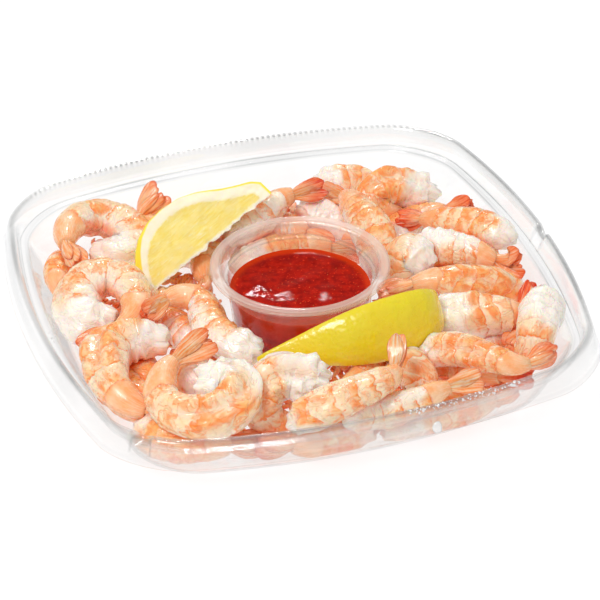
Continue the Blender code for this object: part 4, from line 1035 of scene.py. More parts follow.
# ---------------------------------------------------------------- shrimps
# How each lies on its line: how far its back is rolled towards the eye (degrees),
# how open its tail is (0 closed, 1 wide), how dark its tail, how deep the slit
# along its back, how orange it is, and how frayed its cut end.
MANNER = {
    "shrimp_01": (20, 0.15, 0.35, 0.5, 0.50, 0.6),
    "shrimp_02": (10, 0.20, 0.45, 0.2, 0.85, 0.3),
    "shrimp_03": (30, 0.60, 0.55, 0.3, 0.70, 0.3),
    "shrimp_04": (25, 0.25, 0.60, 0.3, 0.40, 0.8),
    "shrimp_05": (40, 0.20, 0.40, 0.9, 0.45, 0.5),
    "shrimp_06": (20, 0.15, 0.60, 0.6, 0.75, 0.8),
    "shrimp_07": (10, 0.20, 0.60, 0.2, 0.90, 0.3),
    "shrimp_08": (55, 0.20, 0.50, 1.0, 0.45, 1.0),
    "shrimp_09": (10, 0.30, 0.90, 0.2, 0.80, 0.3),
    "shrimp_10": (60, 0.20, 0.40, 1.0, 0.25, 1.0),
    "shrimp_11": (40, -0.20, 0.35, 0.5, 0.45, 0.7),
    "shrimp_12": (15, 0.45, 0.55, 0.2, 0.80, 0.3),
    "shrimp_13": (60, 0.20, 0.40, 0.8, 0.40, 1.0),
    "shrimp_14": (30, 0.20, 0.60, 0.5, 0.65, 0.6),
    "shrimp_15": (45, 0.20, 0.65, 0.8, 0.50, 0.8),
    "shrimp_16": (10, 0.30, 0.90, 0.2, 0.70, 0.3),
    "shrimp_17": (40, 0.20, 0.40, 0.7, 0.30, 0.6),
    "shrimp_18": (15, 0.20, 0.45, 0.3, 0.60, 0.4),
    "shrimp_19": (20, 0.20, 0.40, 0.3, 0.30, 0.6),
    "shrimp_20": (10, 0.40, 1.00, 0.2, 0.80, 0.3),
    "shrimp_21": (50, 0.20, 0.40, 0.9, 0.60, 1.0),
    "shrimp_22": (30, 0.15, 0.90, 0.4, 0.55, 0.4),
    "shrimp_23": (55, 0.90, 0.60, 0.9, 0.45, 0.6),
    "shrimp_24": (45, 0.20, 0.40, 0.7, 0.50, 0.5),
    "shrimp_25": (10, 0.20, 0.45, 0.1, 0.60, 0.3),
    "shrimp_26": (10, 0.15, 0.80, 0.1, 0.75, 0.3),
    "shrimp_27": (30, 0.20, 0.40, 0.4, 0.40, 0.5),
    "shrimp_29": (60, 0.20, 0.40, 0.9, 0.35, 1.0),
}
# How stout each is beside its settled girth, and how lumpy its flesh.
STOUT = {"shrimp_01": 1.10, "shrimp_04": 1.12, "shrimp_05": 1.08, "shrimp_11": 0.95, "shrimp_15": 0.88, "shrimp_22": 0.90, "shrimp_18": 0.92, "shrimp_13": 1.02, "shrimp_10": 1.05, "shrimp_14": 0.95, "shrimp_06": 0.95}
LUMPS = {"shrimp_25": 0.35, "shrimp_02": 0.5, "shrimp_26": 0.5, "shrimp_10": 1.2, "shrimp_13": 1.3, "shrimp_08": 1.1, "shrimp_21": 1.3, "shrimp_29": 1.3}
# How far along each is still white from its cut end.
WHITE = {"shrimp_01": 0.22, "shrimp_04": 0.24, "shrimp_05": 0.16, "shrimp_06": 0.16, "shrimp_08": 0.22, "shrimp_10": 0.32, "shrimp_11": 0.10, "shrimp_13": 0.36, "shrimp_15": 0.16, "shrimp_17": 0.36, "shrimp_19": 0.46, "shrimp_21": 0.26, "shrimp_23": 0.34, "shrimp_24": 0.20, "shrimp_27": 0.30, "shrimp_28": 0.40, "shrimp_29": 0.55, "shrimp_14": 0.10, "shrimp_22": 0.16, "shrimp_40": 0.30, "shrimp_33": 0.40, "shrimp_34": 0.30}
# Painted shade: those that curl round a hole get deep orange painted on the inside of the curl, for the shade in the
# hole.
CURL_PAINTED_SHADE = {"shrimp_01": 0.9, "shrimp_04": 1.0, "shrimp_05": 0.7, "shrimp_08": 0.5, "shrimp_24": 0.5}
SEGMENTS = (0.0, 0.15, 0.315, 0.475, 0.62, 0.755, 1.0)
BODY_S = (0.0, 0.075, 0.2125, 0.4125, 0.60, 0.755, 0.78, 0.925, 1.0)
SHARE_H = (0.76, 0.97, 1.05, 1.00, 0.88, 0.74, 0.74, 0.55, 0.38)
SHARE_W = (0.64, 0.86, 0.96, 0.92, 0.82, 0.69, 0.69, 0.52, 0.41)


def run_of(line):
    return np.concatenate([[0], np.cumsum(np.linalg.norm(np.diff(line, axis=0), axis=1))])


def even(line, count):
    at = run_of(line)
    return np.stack([np.interp(np.linspace(0, at[-1], count), at, line[:, k]) for k in range(3)], axis=1)


def body_of(name, line):
    """Everything about how one shrimp lies: its fine line with frames and radii."""
    girth = SHRIMPS[name][0] * 0.001 * FULL * STOUT.get(name, 1.0 if int(name[-2:]) < 30 else 1.22)
    fine = even(finer(line, 161), 161)
    for _ in range(6):
        fine[1:-1] += 0.25 * (fine[:-2] + fine[2:] - 2 * fine[1:-1])
    length = run_of(fine)[-1]
    fan = min(max(0.20 * length, 0.0145), 0.0195)
    fan_at = 1 - fan / length
    t, back, side = frames(fine)
    u = np.linspace(0, 1, len(fine))
    s = np.clip(u / fan_at, 0, 1)
    h = girth * np.interp(s, BODY_S, SHARE_H)
    w = girth * np.interp(s, BODY_S, SHARE_W)
    out = (u - fan_at) / (1 - fan_at)
    h = np.where(out > 0, np.maximum(h * (1 - 0.55 * np.clip(out, 0, 1)), 0.0016), h)
    w = np.where(out > 0, np.maximum(w, 0.0036), w)
    return {"name": name, "girth": girth, "line": fine, "length": length, "fan_at": fan_at, "t": t, "back": back, "side": side, "h": h, "w": w, "u": u}


def across(field, u, at):
    return np.stack([np.interp(at, u, field[:, k]) for k in range(3)], axis=1)


def shaped(b, rolled, rings, count, seed):
    """The body's points before neighbours press on it, with what its paint needs."""
    spread, slit_depth, fray = rolled["spread"], rolled["slit"], rolled["fray"]
    s = np.concatenate([np.linspace(0, 0.05, 5)[:-1], np.linspace(0.05, 1.0, rings - 4)])
    u = s * b["fan_at"]
    line, back, side, tan = (across(b[k], b["u"], u) for k in ("line", "back", "side", "t"))
    h, w = np.interp(u, b["u"], b["h"]), np.interp(u, b["u"], b["w"])
    h[-1], w[-1] = h[-1] * 0.9, w[-1] * 0.9
    a = np.linspace(-math.pi, math.pi, count, endpoint=False)
    A, S = np.meshgrid(a, s)
    roll = rolled["roll"]
    feature = np.arctan2(np.sin(A - roll), np.cos(A - roll))       # angle from the shrimp's own back
    dorsal = np.cos(feature)
    base = line[:, None, :] + back[:, None, :] * (h[:, None] * np.cos(A))[..., None] + side[:, None, :] * (w[:, None] * np.sin(A))[..., None]
    centre = np.repeat(line[:, None, :], count, axis=1)
    girth = b["girth"]
    along = S * b["fan_at"] * b["length"]
    coord = np.stack([along, feature * girth * 0.9, np.full_like(S, 0.0)], axis=-1)
    tube = coord + seed * 0.11
    # segments lean back on the sides, and wander a little
    lean = 0.030 + 0.020 * lattice(np.array([seed]), np.array([8]), np.array([8]), 2)[0]
    s_seg = S - lean * np.abs(np.sin(feature)) + 0.020 * np.sin(feature + seed) + 0.022 * noise(tube, 0.007, seed) + 0.008 * noise(tube, 0.003, seed + 4) + 0.006
    marks = np.array(SEGMENTS)
    marks[1:5] += 0.022 * lattice(np.arange(4) + seed, np.arange(4) * 3, np.arange(4) * 5, 2)
    seg = np.interp(s_seg, marks, np.arange(len(SEGMENTS)))
    t = seg - np.floor(seg)
    last = seg >= 5
    nearest = np.abs(seg - np.round(seg))
    real = (np.round(seg) > 0) & (np.round(seg) < 6)
    width_here = np.interp(s_seg, SEGMENTS, list(np.diff(SEGMENTS)) + [0.2])
    broken = 0.25 + 0.75 * ramp(noise(tube, 0.0085, seed + 15), -0.35, 0.45)
    crease = np.where(real, np.exp(-(nearest * width_here / 0.0080) ** 2), 0) * broken
    side_on = ramp(dorsal, -0.75, 0.25)
    swell = (0.020 * np.sin(math.pi * np.clip(t, 0, 1)) ** 0.8 + 0.055 * t ** 3 * broken - 0.015) * np.where(last, 0.10, 1)
    grow = 1 + side_on * (swell - 0.055 * crease)
    # folds across, finer lumps, and the general unevenness of soft flesh
    soft = np.where(last, 0.25, 1.0)
    slant = tube + 0.0030 * np.stack([noise(tube, 0.008, seed + 20), noise(tube, 0.008, seed + 21), 0 * S], axis=-1)
    folds = 1 - 2 * np.abs(noise(slant * np.array([1.0, 0.55, 1.0]), 0.0044, seed + 7))
    grow += soft * rolled["lumps"] * (0.125 * noise(slant, 0.0100, seed + 1) + 0.060 * noise(slant, 0.0052, seed + 2) + 0.032 * folds + 0.010 * noise(slant, 0.0021, seed + 3))
    # the slit along the back where the vein was
    wander = 0.20 * noise(np.stack([along[:, 0], along[:, 0] * 0, along[:, 0] * 0], axis=-1), 0.013, seed + 5)[:, None]
    off = feature - wander
    window = ramp(S, 0.0, 0.05) * (1 - ramp(S, 0.52, 0.68)) * (0.55 + 0.45 * noise(tube, 0.012, seed + 11))
    open_w = (0.15 + 0.20 * slit_depth) * (1 + 0.35 * noise(tube, 0.010, seed + 16))
    slit = np.exp(-np.abs(off / open_w) ** 2.6) * window
    lips = np.exp(-((np.abs(off) - open_w * 1.9) / (open_w * 0.8)) ** 2) * window
    frill = noise(tube, 0.0026, seed + 6) + 0.6 * noise(tube, 0.0055, seed + 17)
    grow += slit_depth * (-0.50 * slit + 0.17 * lips * (1 + 0.9 * frill))
    # belly: flatter, with a groove and the stumps of the legs
    under = ramp(-dorsal, 0.55, 1.0)
    grow -= 0.10 * under
    grow -= 0.10 * np.exp(-((math.pi - np.abs(feature)) / 0.22) ** 2) * (1 - ramp(S, 0.70, 0.80))
    stump = np.exp(-((np.abs(feature) - 2.45) / 0.20) ** 2) * np.clip(np.sin(math.pi * t), 0, 1) ** 3 * (1 - ramp(S, 0.66, 0.76))
    grow += 0.10 * stump
    # shell edge: the last segment's shell lies on the flesh
    shell = ramp(seg, 4.985, 5.03)
    grow += 0.035 * shell * (1 - ramp(S, 0.86, 1.0))
    # cut end: frayed
    head = 1 - ramp(S + 0.04 * noise(tube, 0.004, seed + 8) + 0.03 * noise(tube, 0.0018, seed + 18), 0.05, 0.17)
    white_to = rolled["white"]
    pale = 1 - ramp(S + 0.10 * noise(tube, 0.008, seed + 31) + 0.05 * noise(tube, 0.003, seed + 32) + 0.06 * dorsal, white_to - 0.05, white_to + 0.07)
    tufts = 1 - 2 * np.abs(noise(base, 0.0034, seed + 9))
    grow += fray * head * (0.17 * tufts + 0.13 * noise(base, 0.0017, seed + 10) + 0.02)
    p = centre + (base - centre) * grow[..., None]
    p -= tan[:, None, :] * (fray * head * 0.0018 * (1 + noise(base, 0.0026, seed + 12)))[..., None]
    # close the cut end with a domed, ragged cap
    caps, cap_centre, cap_info = [], [], []
    first = p[0]
    for k, shrink in enumerate((0.86, 0.64, 0.40, 0.18)):
        push = (1 - shrink ** 2) ** 0.5 * h[0] * 0.55
        ring = line[0] + (first - line[0]) * shrink - tan[0] * push
        q = ring + 0.0
        lump = fray * (0.0019 * (1 - 2 * np.abs(noise(q, 0.0034, seed + 9))) + 0.0012 * noise(q, 0.0017, seed + 10))
        ring = ring + (first - line[0]) / np.maximum(np.linalg.norm(first - line[0], axis=1), 1e-9)[:, None] * lump[:, None] * 0.5 - tan[0] * lump[:, None]
        caps.append(ring)
        cap_centre.append(np.repeat(line[:1], count, axis=0))
    caps, cap_centre = caps[::-1], cap_centre[::-1]
    extra = len(caps)
    pts = np.vstack([np.vstack(caps), p.reshape(-1, 3)])
    cen = np.vstack([np.vstack(cap_centre), centre.reshape(-1, 3)])
    def with_caps(field, value=None):
        top = np.repeat(field[:1], extra, axis=0) if value is None else np.full((extra,) + field.shape[1:], value)
        return np.concatenate([top, field]).reshape((-1,) + field.shape[2:])
    pad = {"seg": with_caps(seg), "dorsal": with_caps(dorsal), "pale": with_caps(pale, 1.0),
           "slit": with_caps(np.clip(slit * slit_depth * 0.9, 0, 1), 0.0), "tail": with_caps(np.zeros_like(S)), "coord": with_caps(coord),
           "lip": with_caps(np.clip(lips * slit_depth, 0, 1), 0.0), "outline": with_caps(np.exp(-((seg - 5.02) / 0.022) ** 2) * 0.8)}
    at_u = with_caps(S * b["fan_at"])
    shell_v = with_caps(shell)
    ends = np.array([pts[:count].mean(axis=0), pts[-count:].mean(axis=0)])
    return pts, cen, at_u, pad, shell_v, ends, extra + len(s)


def blade(b, start, reach, width, thick, yaw, lift, seed, twist, ring=14, steps=15):
    """One blade of the tail fan as a flat, arched, closed form. Returns its points, centres and where along the tail they are."""
    fan = (1 - b["fan_at"]) * b["length"]
    v = np.linspace(0, 1, steps)
    v = 1 - (1 - v) ** 1.25
    run = start + v * reach
    u = np.clip(b["fan_at"] + run / b["length"], 0, 1)
    line, back, side, tan = (across(b[k], b["u"], u) for k in ("line", "back", "side", "t"))
    turn = twist * ramp(v, -0.5, 0.25)[:, None]
    back, side = back * np.cos(turn) + side * np.sin(turn), side * np.cos(turn) - back * np.sin(turn)
    past = np.maximum(b["fan_at"] * b["length"] + run - b["length"], 0)
    line = line + tan * past[:, None]
    shape = (0.42 + 0.58 * ramp(v, 0.0, 0.60)) * np.sqrt(np.clip(1 - ((v - 0.62) / 0.385) ** 2 * (v > 0.62), 0.02, 1))
    shape *= 1 + 0.10 * noise(np.column_stack([v * 0.02, v * 0, v * 0 + seed]), 0.004, seed)
    half = width * 0.5 * shape
    t_half = thick * 0.5 * (1.0 - 0.62 * v) * np.sqrt(np.clip(1 - ((v - 0.8) / 0.205) ** 2 * (v > 0.8), 0.05, 1))
    t_half[0] *= 0.8
    a = np.linspace(0, 2 * math.pi, ring, endpoint=False)
    cx = np.sign(np.cos(a)) * np.abs(np.cos(a)) ** 0.9
    cy = np.sin(a)
    reach_out = run - start
    mid = line + side * (math.sin(yaw) * reach_out + yaw * 0.0025)[:, None] + back * (lift + 0.0012 * np.sin(v * math.pi * 0.5) * (1 if lift > 0 else -0.2))[:, None]
    flat = side * math.cos(yaw * 0.6) + back * (-abs(yaw) * 0.5 * np.sign(yaw))
    up = np.cross(tan, flat)
    up /= np.linalg.norm(up, axis=1)[:, None]
    up = np.where(((up * back).sum(axis=1) < 0)[:, None], -up, up)
    W, T = np.meshgrid(cx, half)[0], None
    x = half[:, None] * cx[None, :]
    ridge = 0.00042 * np.exp(-(cx[None, :] / 0.22) ** 2) * (cy[None, :] > 0) * (1 - v[:, None] ** 2)
    z = t_half[:, None] * cy[None, :] + ridge - 0.20 * (x ** 2) / max(width * 0.5, 1e-4)
    grooves = 0.00012 * np.sin(cx[None, :] * 15 + seed) * (np.abs(cy[None, :]) > 0.3)
    pts = mid[:, None, :] + flat[:, None, :] * x[..., None] + up[:, None, :] * (z + grooves)[..., None]
    pts += 0.00030 * noise(pts, 0.004, seed)[..., None] * up[:, None, :]
    cen = np.repeat(mid[:, None, :], ring, axis=1)
    coord = np.stack([b["fan_at"] * b["length"] + np.repeat(run[:, None], ring, axis=1), x + yaw * 0.02 + seed * 0.0031, np.zeros_like(x) + seed * 0.013], axis=-1)
    tail = np.repeat((0.22 + 0.78 * v)[:, None], ring, axis=1)
    at_u = np.repeat(np.clip(u, 0, 1)[:, None], ring, axis=1)
    # the tip is nicked
    pts += tan[:, None, :] * (0.0011 * noise(np.stack([x, x * 0 + seed * 0.01, x * 0], axis=-1), 0.0012, seed) * ramp(v, 0.55, 1.0)[:, None])[..., None]
    outline = np.clip(np.abs(cx[None, :]) ** 8 + ramp(v, 0.93, 1.0)[:, None], 0, 1) * ramp(v, 0.05, 0.3)[:, None]
    return pts.reshape(-1, 3), cen.reshape(-1, 3), outline.ravel(), tail.ravel(), coord.reshape(-1, 3), None, steps, ring


def pressed(pts, cen, mine, others, gap=0.00006, soft=1.0):
    """Moves points that lie in a neighbour back to where both would press flat."""
    own = mine["line"]
    for o in others:
        line = o["line"][::3]
        if ((own[::6, None, :] - line[None, ::3, :]) ** 2).sum(axis=2).min() > 0.026 ** 2:
            continue
        low, high = line.min(axis=0) - 0.012, line.max(axis=0) + 0.012
        near = ((pts > low) & (pts < high)).all(axis=1)
        if not near.any():
            continue
        index = np.nonzero(near)[0]
        d2 = ((pts[index][:, None, :] - line[None, :, :]) ** 2).sum(axis=2)
        k = d2.argmin(axis=1)
        back, side, h, w = o["back"][::3][k], o["side"][::3][k], o["h"][::3][k], o["w"][::3][k]
        b = line[k]
        tan = o["t"][::3][k]
        rel = pts[index] - b
        b = b + tan * np.clip((rel * tan).sum(axis=1), -0.0016, 0.0016)[:, None]
        rel = pts[index] - b
        size = np.linalg.norm(rel, axis=1) + 1e-9
        c, s = (rel * back).sum(axis=1) / size, (rel * side).sum(axis=1) / size
        flat = np.sqrt(c * c + s * s) + 1e-9
        radius_b = 1 / np.sqrt((c / flat / h) ** 2 + (s / flat / w) ** 2)
        hit = size < radius_b + 0.0012
        if not hit.any():
            continue
        index, b, radius_b, size = index[hit], b[hit], radius_b[hit], size[hit]
        a = cen[index]
        gap_vec = b - a
        d = np.linalg.norm(gap_vec, axis=1) + 1e-9
        to = gap_vec / d[:, None]
        reach = ((pts[index] - a) * to).sum(axis=1)
        radius_a = np.maximum(np.linalg.norm(pts[index] - a, axis=1), 0.0008)
        flat_at = (d ** 2 + radius_a ** 2 - radius_b ** 2) / (2 * d)
        flat_at = np.clip(flat_at, -0.5 * radius_a, d)
        over = soft_over(reach - (flat_at - gap), 0.0003) - 0.00012
        over = np.clip(over, 0, 0.0065) * np.clip((radius_b + 0.0012 - size) / 0.0012, 0, 1)
        pts[index] -= to * (over * soft)[:, None]
    return pts


def room_to(pts, mine, others):
    """How far each point is from the nearest neighbour's flesh, in metres."""
    own, room = mine["line"], np.full(len(pts), 0.01)
    for o in others:
        line = o["line"][::3]
        if ((own[::6, None, :] - line[None, ::3, :]) ** 2).sum(axis=2).min() > 0.026 ** 2:
            continue
        near = ((pts > line.min(axis=0) - 0.012) & (pts < line.max(axis=0) + 0.012)).all(axis=1)
        index = np.nonzero(near)[0]
        if not len(index):
            continue
        k = ((pts[index][:, None, :] - line[None, :, :]) ** 2).sum(axis=2).argmin(axis=1)
        rel = pts[index] - line[k]
        c, s = (rel * o["back"][::3][k]).sum(axis=1), (rel * o["side"][::3][k]).sum(axis=1)
        flat = np.hypot(c, s) + 1e-9
        radius = 1 / np.sqrt((c / flat / o["h"][::3][k]) ** 2 + (s / flat / o["w"][::3][k]) ** 2)
        room[index] = np.minimum(room[index], np.linalg.norm(rel, axis=1) - radius)
    return room


def kept_in(pts):
    """Keeps points above the floor, inside the wall, and out of the cup and the lemons."""
    pts[:, 2] = np.maximum(pts[:, 2], FLOOR_TOP + 0.0002 + 0.00012 * np.sin(pts[:, 0] * 900) ** 2)
    for _ in range(2):
        limit = tray_half(pts[:, 2]) - 0.0009
        past = np.clip(square_reach(pts[:, :2], 0.10) - limit, 0, None)
        pts[:, :2] -= pts[:, :2] / np.maximum(np.linalg.norm(pts[:, :2], axis=1), 1e-6)[:, None] * past[:, None]
    rel = pts[:, :2] - np.array([CUP_X, CUP_Y])
    away = np.linalg.norm(rel, axis=1) + 1e-9
    low = pts[:, 2] < CUP_TOP + 0.0004
    past = np.where(low, np.clip(cup_radius(pts[:, 2]) + 0.0004 - away, 0, None), 0)
    pts[:, :2] += rel / away[:, None] * past[:, None]
    for name in LEMONS:
        p, q, axis, out, side, opening, radius = lemon_frame(name)
        span = np.linalg.norm(q - p)
        rel = pts - p
        s = (rel @ axis) / span
        here = radius * np.interp(s, *LEMON_ALONG[name])
        x, y = rel @ out, rel @ side
        n1 = np.array([-math.sin(opening / 2), math.cos(opening / 2)])
        n2 = np.array([-math.sin(opening / 2), -math.cos(opening / 2)])
        d1, d2 = x * n1[0] + y * n1[1], x * n2[0] + y * n2[1]
        r = np.hypot(x, y)
        d3 = r - here
        inside = (s > 0) & (s < 1) & (np.maximum(np.maximum(d1, d2), d3) < 0.0003)
        deepest = np.argmax(np.stack([d1, d2, d3]), axis=0)
        push = 0.0003 - np.choose(deepest, [d1, d2, d3])
        radial = np.stack([x, y], axis=1) / np.maximum(r, 1e-6)[:, None]
        step = np.choose(deepest[:, None], [np.broadcast_to(n1, radial.shape), np.broadcast_to(n2, radial.shape), radial])
        move = step[:, :1] * out + step[:, 1:] * side
        pts += np.where(inside, np.clip(push, 0, 0.006), 0)[:, None] * move
    return pts


def make_shrimp(name, bodies, mats):
    b = bodies[name]
    seed = int(name[-2:])
    pick = lattice(np.array([seed, seed + 50, seed + 90]), np.array([3, 4, 5]), np.array([7, 8, 9]), 1)
    roll, spread, dark, slit, orange, fray = MANNER.get(name, (20 + 25 * pick[0], 0.25, 0.6 + 0.2 * pick[1], 0.4, (0.85 if seed >= 30 else 0.5) + 0.15 * pick[2], 0.6))
    # which way round the roll goes: towards the eye
    part = slice(int(0.08 * len(b["line"])), int(0.55 * len(b["line"])))
    facing = math.atan2(float((b["side"][part] @ BACK).mean()), float((b["back"][part] @ BACK).mean()))
    reach = math.radians(roll + 12)
    rolled = {"roll": max(-reach, min(reach, facing)), "spread": spread, "slit": slit, "fray": fray, "lumps": LUMPS.get(name, 1.0), "white": WHITE.get(name, 0.10)}
    hidden = seed >= 30 and seed not in (31,)
    rings, count = (64, 28) if hidden else (112, 44)
    pts, cen, at_u, pad, shell, ends, n_rings = shaped(b, rolled, rings, count, seed)
    others = [o for k, o in bodies.items() if k != name]
    pts = kept_in(pressed(pts, cen, b, others))
    # painted shade: 1 where the flesh is within a few millimetres of a neighbour, on the inside of a curl and near the
    # floor; the flesh paint turns these places deep orange as shade
    deep = 1 - ramp(room_to(pts, b, others), 0.0003, 0.0026)
    deep = np.maximum(deep, CURL_PAINTED_SHADE.get(name, 0.0) * ramp(-pad["dorsal"].ravel(), 0.10, 0.75))
    deep = np.maximum(deep, 0.8 * (1 - ramp(pts[:, 2], 0.003, 0.010)))
    ends = np.array([pts[:count].mean(axis=0), pts[(n_rings - 1) * count:].mean(axis=0)])
    verts = np.vstack([pts, ends])
    faces = tube_faces(n_rings, count)
    if not outward(verts, faces):
        faces = [f[::-1] for f in faces]
    shell_all = np.concatenate([shell, [0, 1]])
    slots = [1 if shell_all[list(f)].mean() > 0.5 else 0 for f in faces]
    values = {k: np.concatenate([pad[k], [pad[k][0], pad[k][-1]]]) for k in ("seg", "dorsal", "pale", "slit", "tail", "lip", "outline")}
    values["deep"] = np.concatenate([deep, [deep[0], deep[-1]]])
    coord = np.vstack([pad["coord"], pad["coord"][:1], pad["coord"][-1:]])
    fan = (1 - b["fan_at"]) * b["length"]
    open_by = 0.07 + 0.25 * spread
    blades = (
        (-0.0034, fan * 0.78, 0.0050, 0.0028, 0.0, 0.0012),
        (-0.0030, fan * 0.96, 0.0066, 0.0018, open_by * 0.60, 0.0003),
        (-0.0030, fan * 0.92, 0.0066, 0.0018, -open_by * 0.60, 0.0002),
        (-0.0026, fan * 1.00, 0.0072, 0.0017, open_by * 1.2, -0.0009),
        (-0.0026, fan * 0.97, 0.0072, 0.0017, -open_by * 1.2, -0.0010),
    )
    at = int(0.93 * (len(b["line"]) - 1))
    want = BACK - b["t"][at] * (b["t"][at] @ BACK)
    facing = np.linalg.norm(want)
    angle = math.atan2(float(want @ b["side"][at]), float(want @ b["back"][at]))
    if abs(angle) > math.pi / 2:
        angle -= math.copysign(math.pi, angle)
    twist = max(-1.25, min(1.25, 0.85 * angle)) * min(1.0, facing * 1.5)
    for k, (start, reach, width, thick, yaw, lift) in enumerate(blades):
        swing = 0.05 * float(noise(np.array([[seed * 1.7, k * 2.3, 0.5]]), 1.0, 5)[0])
        bp, bc, line_at, tail, bcoord, bends, steps, ring = blade(b, start, reach - start, width * (b["girth"] / 0.0085) ** 0.5, thick, yaw + swing, lift, seed + k, twist)
        bp = kept_in(pressed(bp, bc, b, others, soft=0.5))
        first = len(verts)
        bends = np.array([bp[:ring].mean(axis=0), bp[-ring:].mean(axis=0)])
        verts = np.vstack([verts, bp, bends])
        more = tube_faces(steps, ring, start=first)
        local = [tuple(i - first for i in f) for f in more]
        if not outward(verts[first:], local):
            more = [f[::-1] for f in more]
        faces += more
        slots += [1] * len(more)
        n = len(bp)
        values["outline"] = np.concatenate([values["outline"], line_at, [0.0, 0.8]])
        for key, v in (("seg", 5.5), ("dorsal", 0.8), ("pale", 0.0), ("slit", 0.0), ("lip", 0.0), ("deep", 0.0)):
            values[key] = np.concatenate([values[key], np.full(n + 2, v)])
        values["tail"] = np.concatenate([values["tail"], tail, [0.22, 1.0]])
        coord = np.vstack([coord, bcoord, bcoord[:1], bcoord[-1:]])
    # the shell reddens a little towards the fan
    values["tail"] = np.where(values["tail"] == 0, np.clip(np.concatenate([at_u, [0, 1], np.ones(len(verts) - len(at_u) - 2)]) / b["fan_at"] - 0.80, 0, 0.2) * 0.9 * np.concatenate([shell, [0, 1], np.ones(len(verts) - len(shell) - 2)]), values["tail"])
    values["tint"] = np.full(len(verts), dark)
    coord = coord * 100.0 + np.array([seed * 7.3, seed * 3.1, 0.0])
    coord[:, 2] += (orange - 0.5) * 0.0
    values["orange"] = np.full(len(verts), orange)
    obj = piece(name + "_flesh", verts, faces, mats, slots=slots, values=values, vectors={"coord": coord})
    return obj


# ---------------------------------------------------------------- scraps
# Where small legs and shreds of flesh show between the shrimps: across, down, height (mm), spread (mm), how many, how red.
SCRAPS = (
    (108, 306, 8, 5, 16, 0.8), (101, 240, 8, 5, 14, 0.7), (112, 246, 10, 3, 7, 0.4), (232, 362, 12, 5, 14, 0.9),
    (198, 352, 8, 6, 12, 0.9), (150, 345, 7, 7, 12, 0.8), (268, 404, 14, 3, 8, 0.6), (212, 402, 17, 4, 8, 0.5),
    (345, 372, 7, 9, 14, 0.9), (318, 385, 6, 7, 12, 1.0), (438, 384, 9, 7, 14, 0.7), (470, 305, 8, 8, 14, 0.8),
    (404, 232, 8, 6, 12, 0.9), (440, 245, 9, 5, 8, 0.6), (300, 208, 8, 7, 14, 0.6), (330, 214, 12, 5, 12, 0.3),
    (520, 340, 9, 5, 10, 0.9), (180, 282, 7, 6, 12, 0.8), (205, 270, 8, 5, 10, 0.7), (500, 372, 9, 7, 10, 0.8),
    (388, 300, 6, 6, 12, 0.8), (303, 384, 6, 5, 14, 1.0), (268, 436, 5, 5, 12, 1.0), (238, 432, 5, 5, 12, 1.0),
    (398, 372, 6, 6, 12, 0.9), (106, 250, 6, 5, 12, 0.9), (98, 246, 6, 5, 12, 1.0), (62, 296, 6, 4, 10, 0.9), (186, 300, 6, 6, 12, 0.9),
    (165, 340, 6, 6, 12, 1.0), (213, 345, 6, 5, 10, 0.9), (352, 388, 5, 6, 12, 1.0), (455, 395, 5, 6, 12, 0.9), (410, 200, 6, 5, 10, 1.0),
    (512, 300, 6, 5, 10, 0.9), (128, 310, 5, 5, 10, 0.9), (287, 406, 3, 4, 12, 1.0), (399, 386, 3, 4, 12, 1.0), (489, 386, 3, 4, 12, 0.9), (342, 367, 3, 4, 12, 0.9),
    (331, 203, 4, 5, 12, 0.7), (398, 230, 4, 4, 10, 0.9), (147, 317, 4, 4, 10, 0.9), (350, 372, 3, 4, 10, 1.0), (503, 262, 4, 4, 10, 0.9), (108, 250, 3, 4, 12, 1.0),
    (210, 300, 4, 4, 10, 0.9), (196, 296, 4, 5, 12, 0.9), (230, 440, 3, 4, 10, 1.0), (310, 390, 3, 5, 12, 1.0),
)


def make_scraps(mat):
    """Short limp shreds: legs, swimmerets and torn flesh, thin and bent, lying in the gaps."""
    verts, faces, tint, coord = [], [], [], []
    ring, steps = 7, 9
    serial = 0
    for across_px, down_px, height, spread, many, red in SCRAPS:
        middle = spot(across_px, down_px, height)
        for _ in range(many):
            serial += 1
            r = lattice(np.full(10, serial), np.arange(10), np.full(10, 5), 12)
            place = middle + np.array([r[0], r[1], 0.30 * r[2]]) * spread * 0.001 * 0.8
            a, tilt = math.pi * r[3], 0.5 * r[4]
            go = np.array([math.cos(a) * math.cos(tilt), math.sin(a) * math.cos(tilt), math.sin(tilt)])
            aside = np.cross(go, [0, 0, 1.0])
            aside /= np.linalg.norm(aside) + 1e-9
            length = 0.0050 + 0.0030 * r[5]
            thick = 0.00065 + 0.00035 * abs(r[6])
            t = np.linspace(-0.5, 0.5, steps)
            line = place + go * (t * length)[:, None] + aside * (r[7] * 0.0022 * (1 - (2 * t) ** 2))[:, None]
            line[:, 2] -= 0.0008 * np.abs(r[8]) * (2 * t) ** 2
            up = np.cross(aside, go)
            size = thick * np.sqrt(np.clip(1 - (2 * t * 0.985) ** 4, 0.04, 1)) * (1.0 - 0.5 * (t + 0.5) * abs(r[9]))
            ang = np.linspace(0, 2 * math.pi, ring, endpoint=False)
            pts = line[:, None, :] + aside * (size[:, None] * np.cos(ang) * 1.7)[..., None] + up * (size[:, None] * np.sin(ang) * 0.8)[..., None]
            pts = pts.reshape(-1, 3)
            pts += (0.00016 * noise(pts, 0.0011, 3))[:, None] * up
            if square_reach(pts[:, :2], 0.10).max() > tray_half(np.array([place[2]]))[0] - 0.003:
                continue
            pts = kept_in(pts)
            first = len(verts)
            ends = [pts[:ring].mean(axis=0), pts[-ring:].mean(axis=0)]
            verts += pts.tolist() + [e.tolist() for e in ends]
            faces += [f[::-1] for f in tube_faces(steps, ring, start=first)]
            tint += [min(1.0, max(0.0, red + 0.35 * float(r[9])))] * (len(pts) + 2)
            coord += (pts * 100 + serial * 3.1).tolist() + [[serial * 3.1] * 3] * 2
    verts = np.array(verts)
    return piece("shreds", verts, faces, [mat], values={"red": tint}, vectors={"coord": coord})


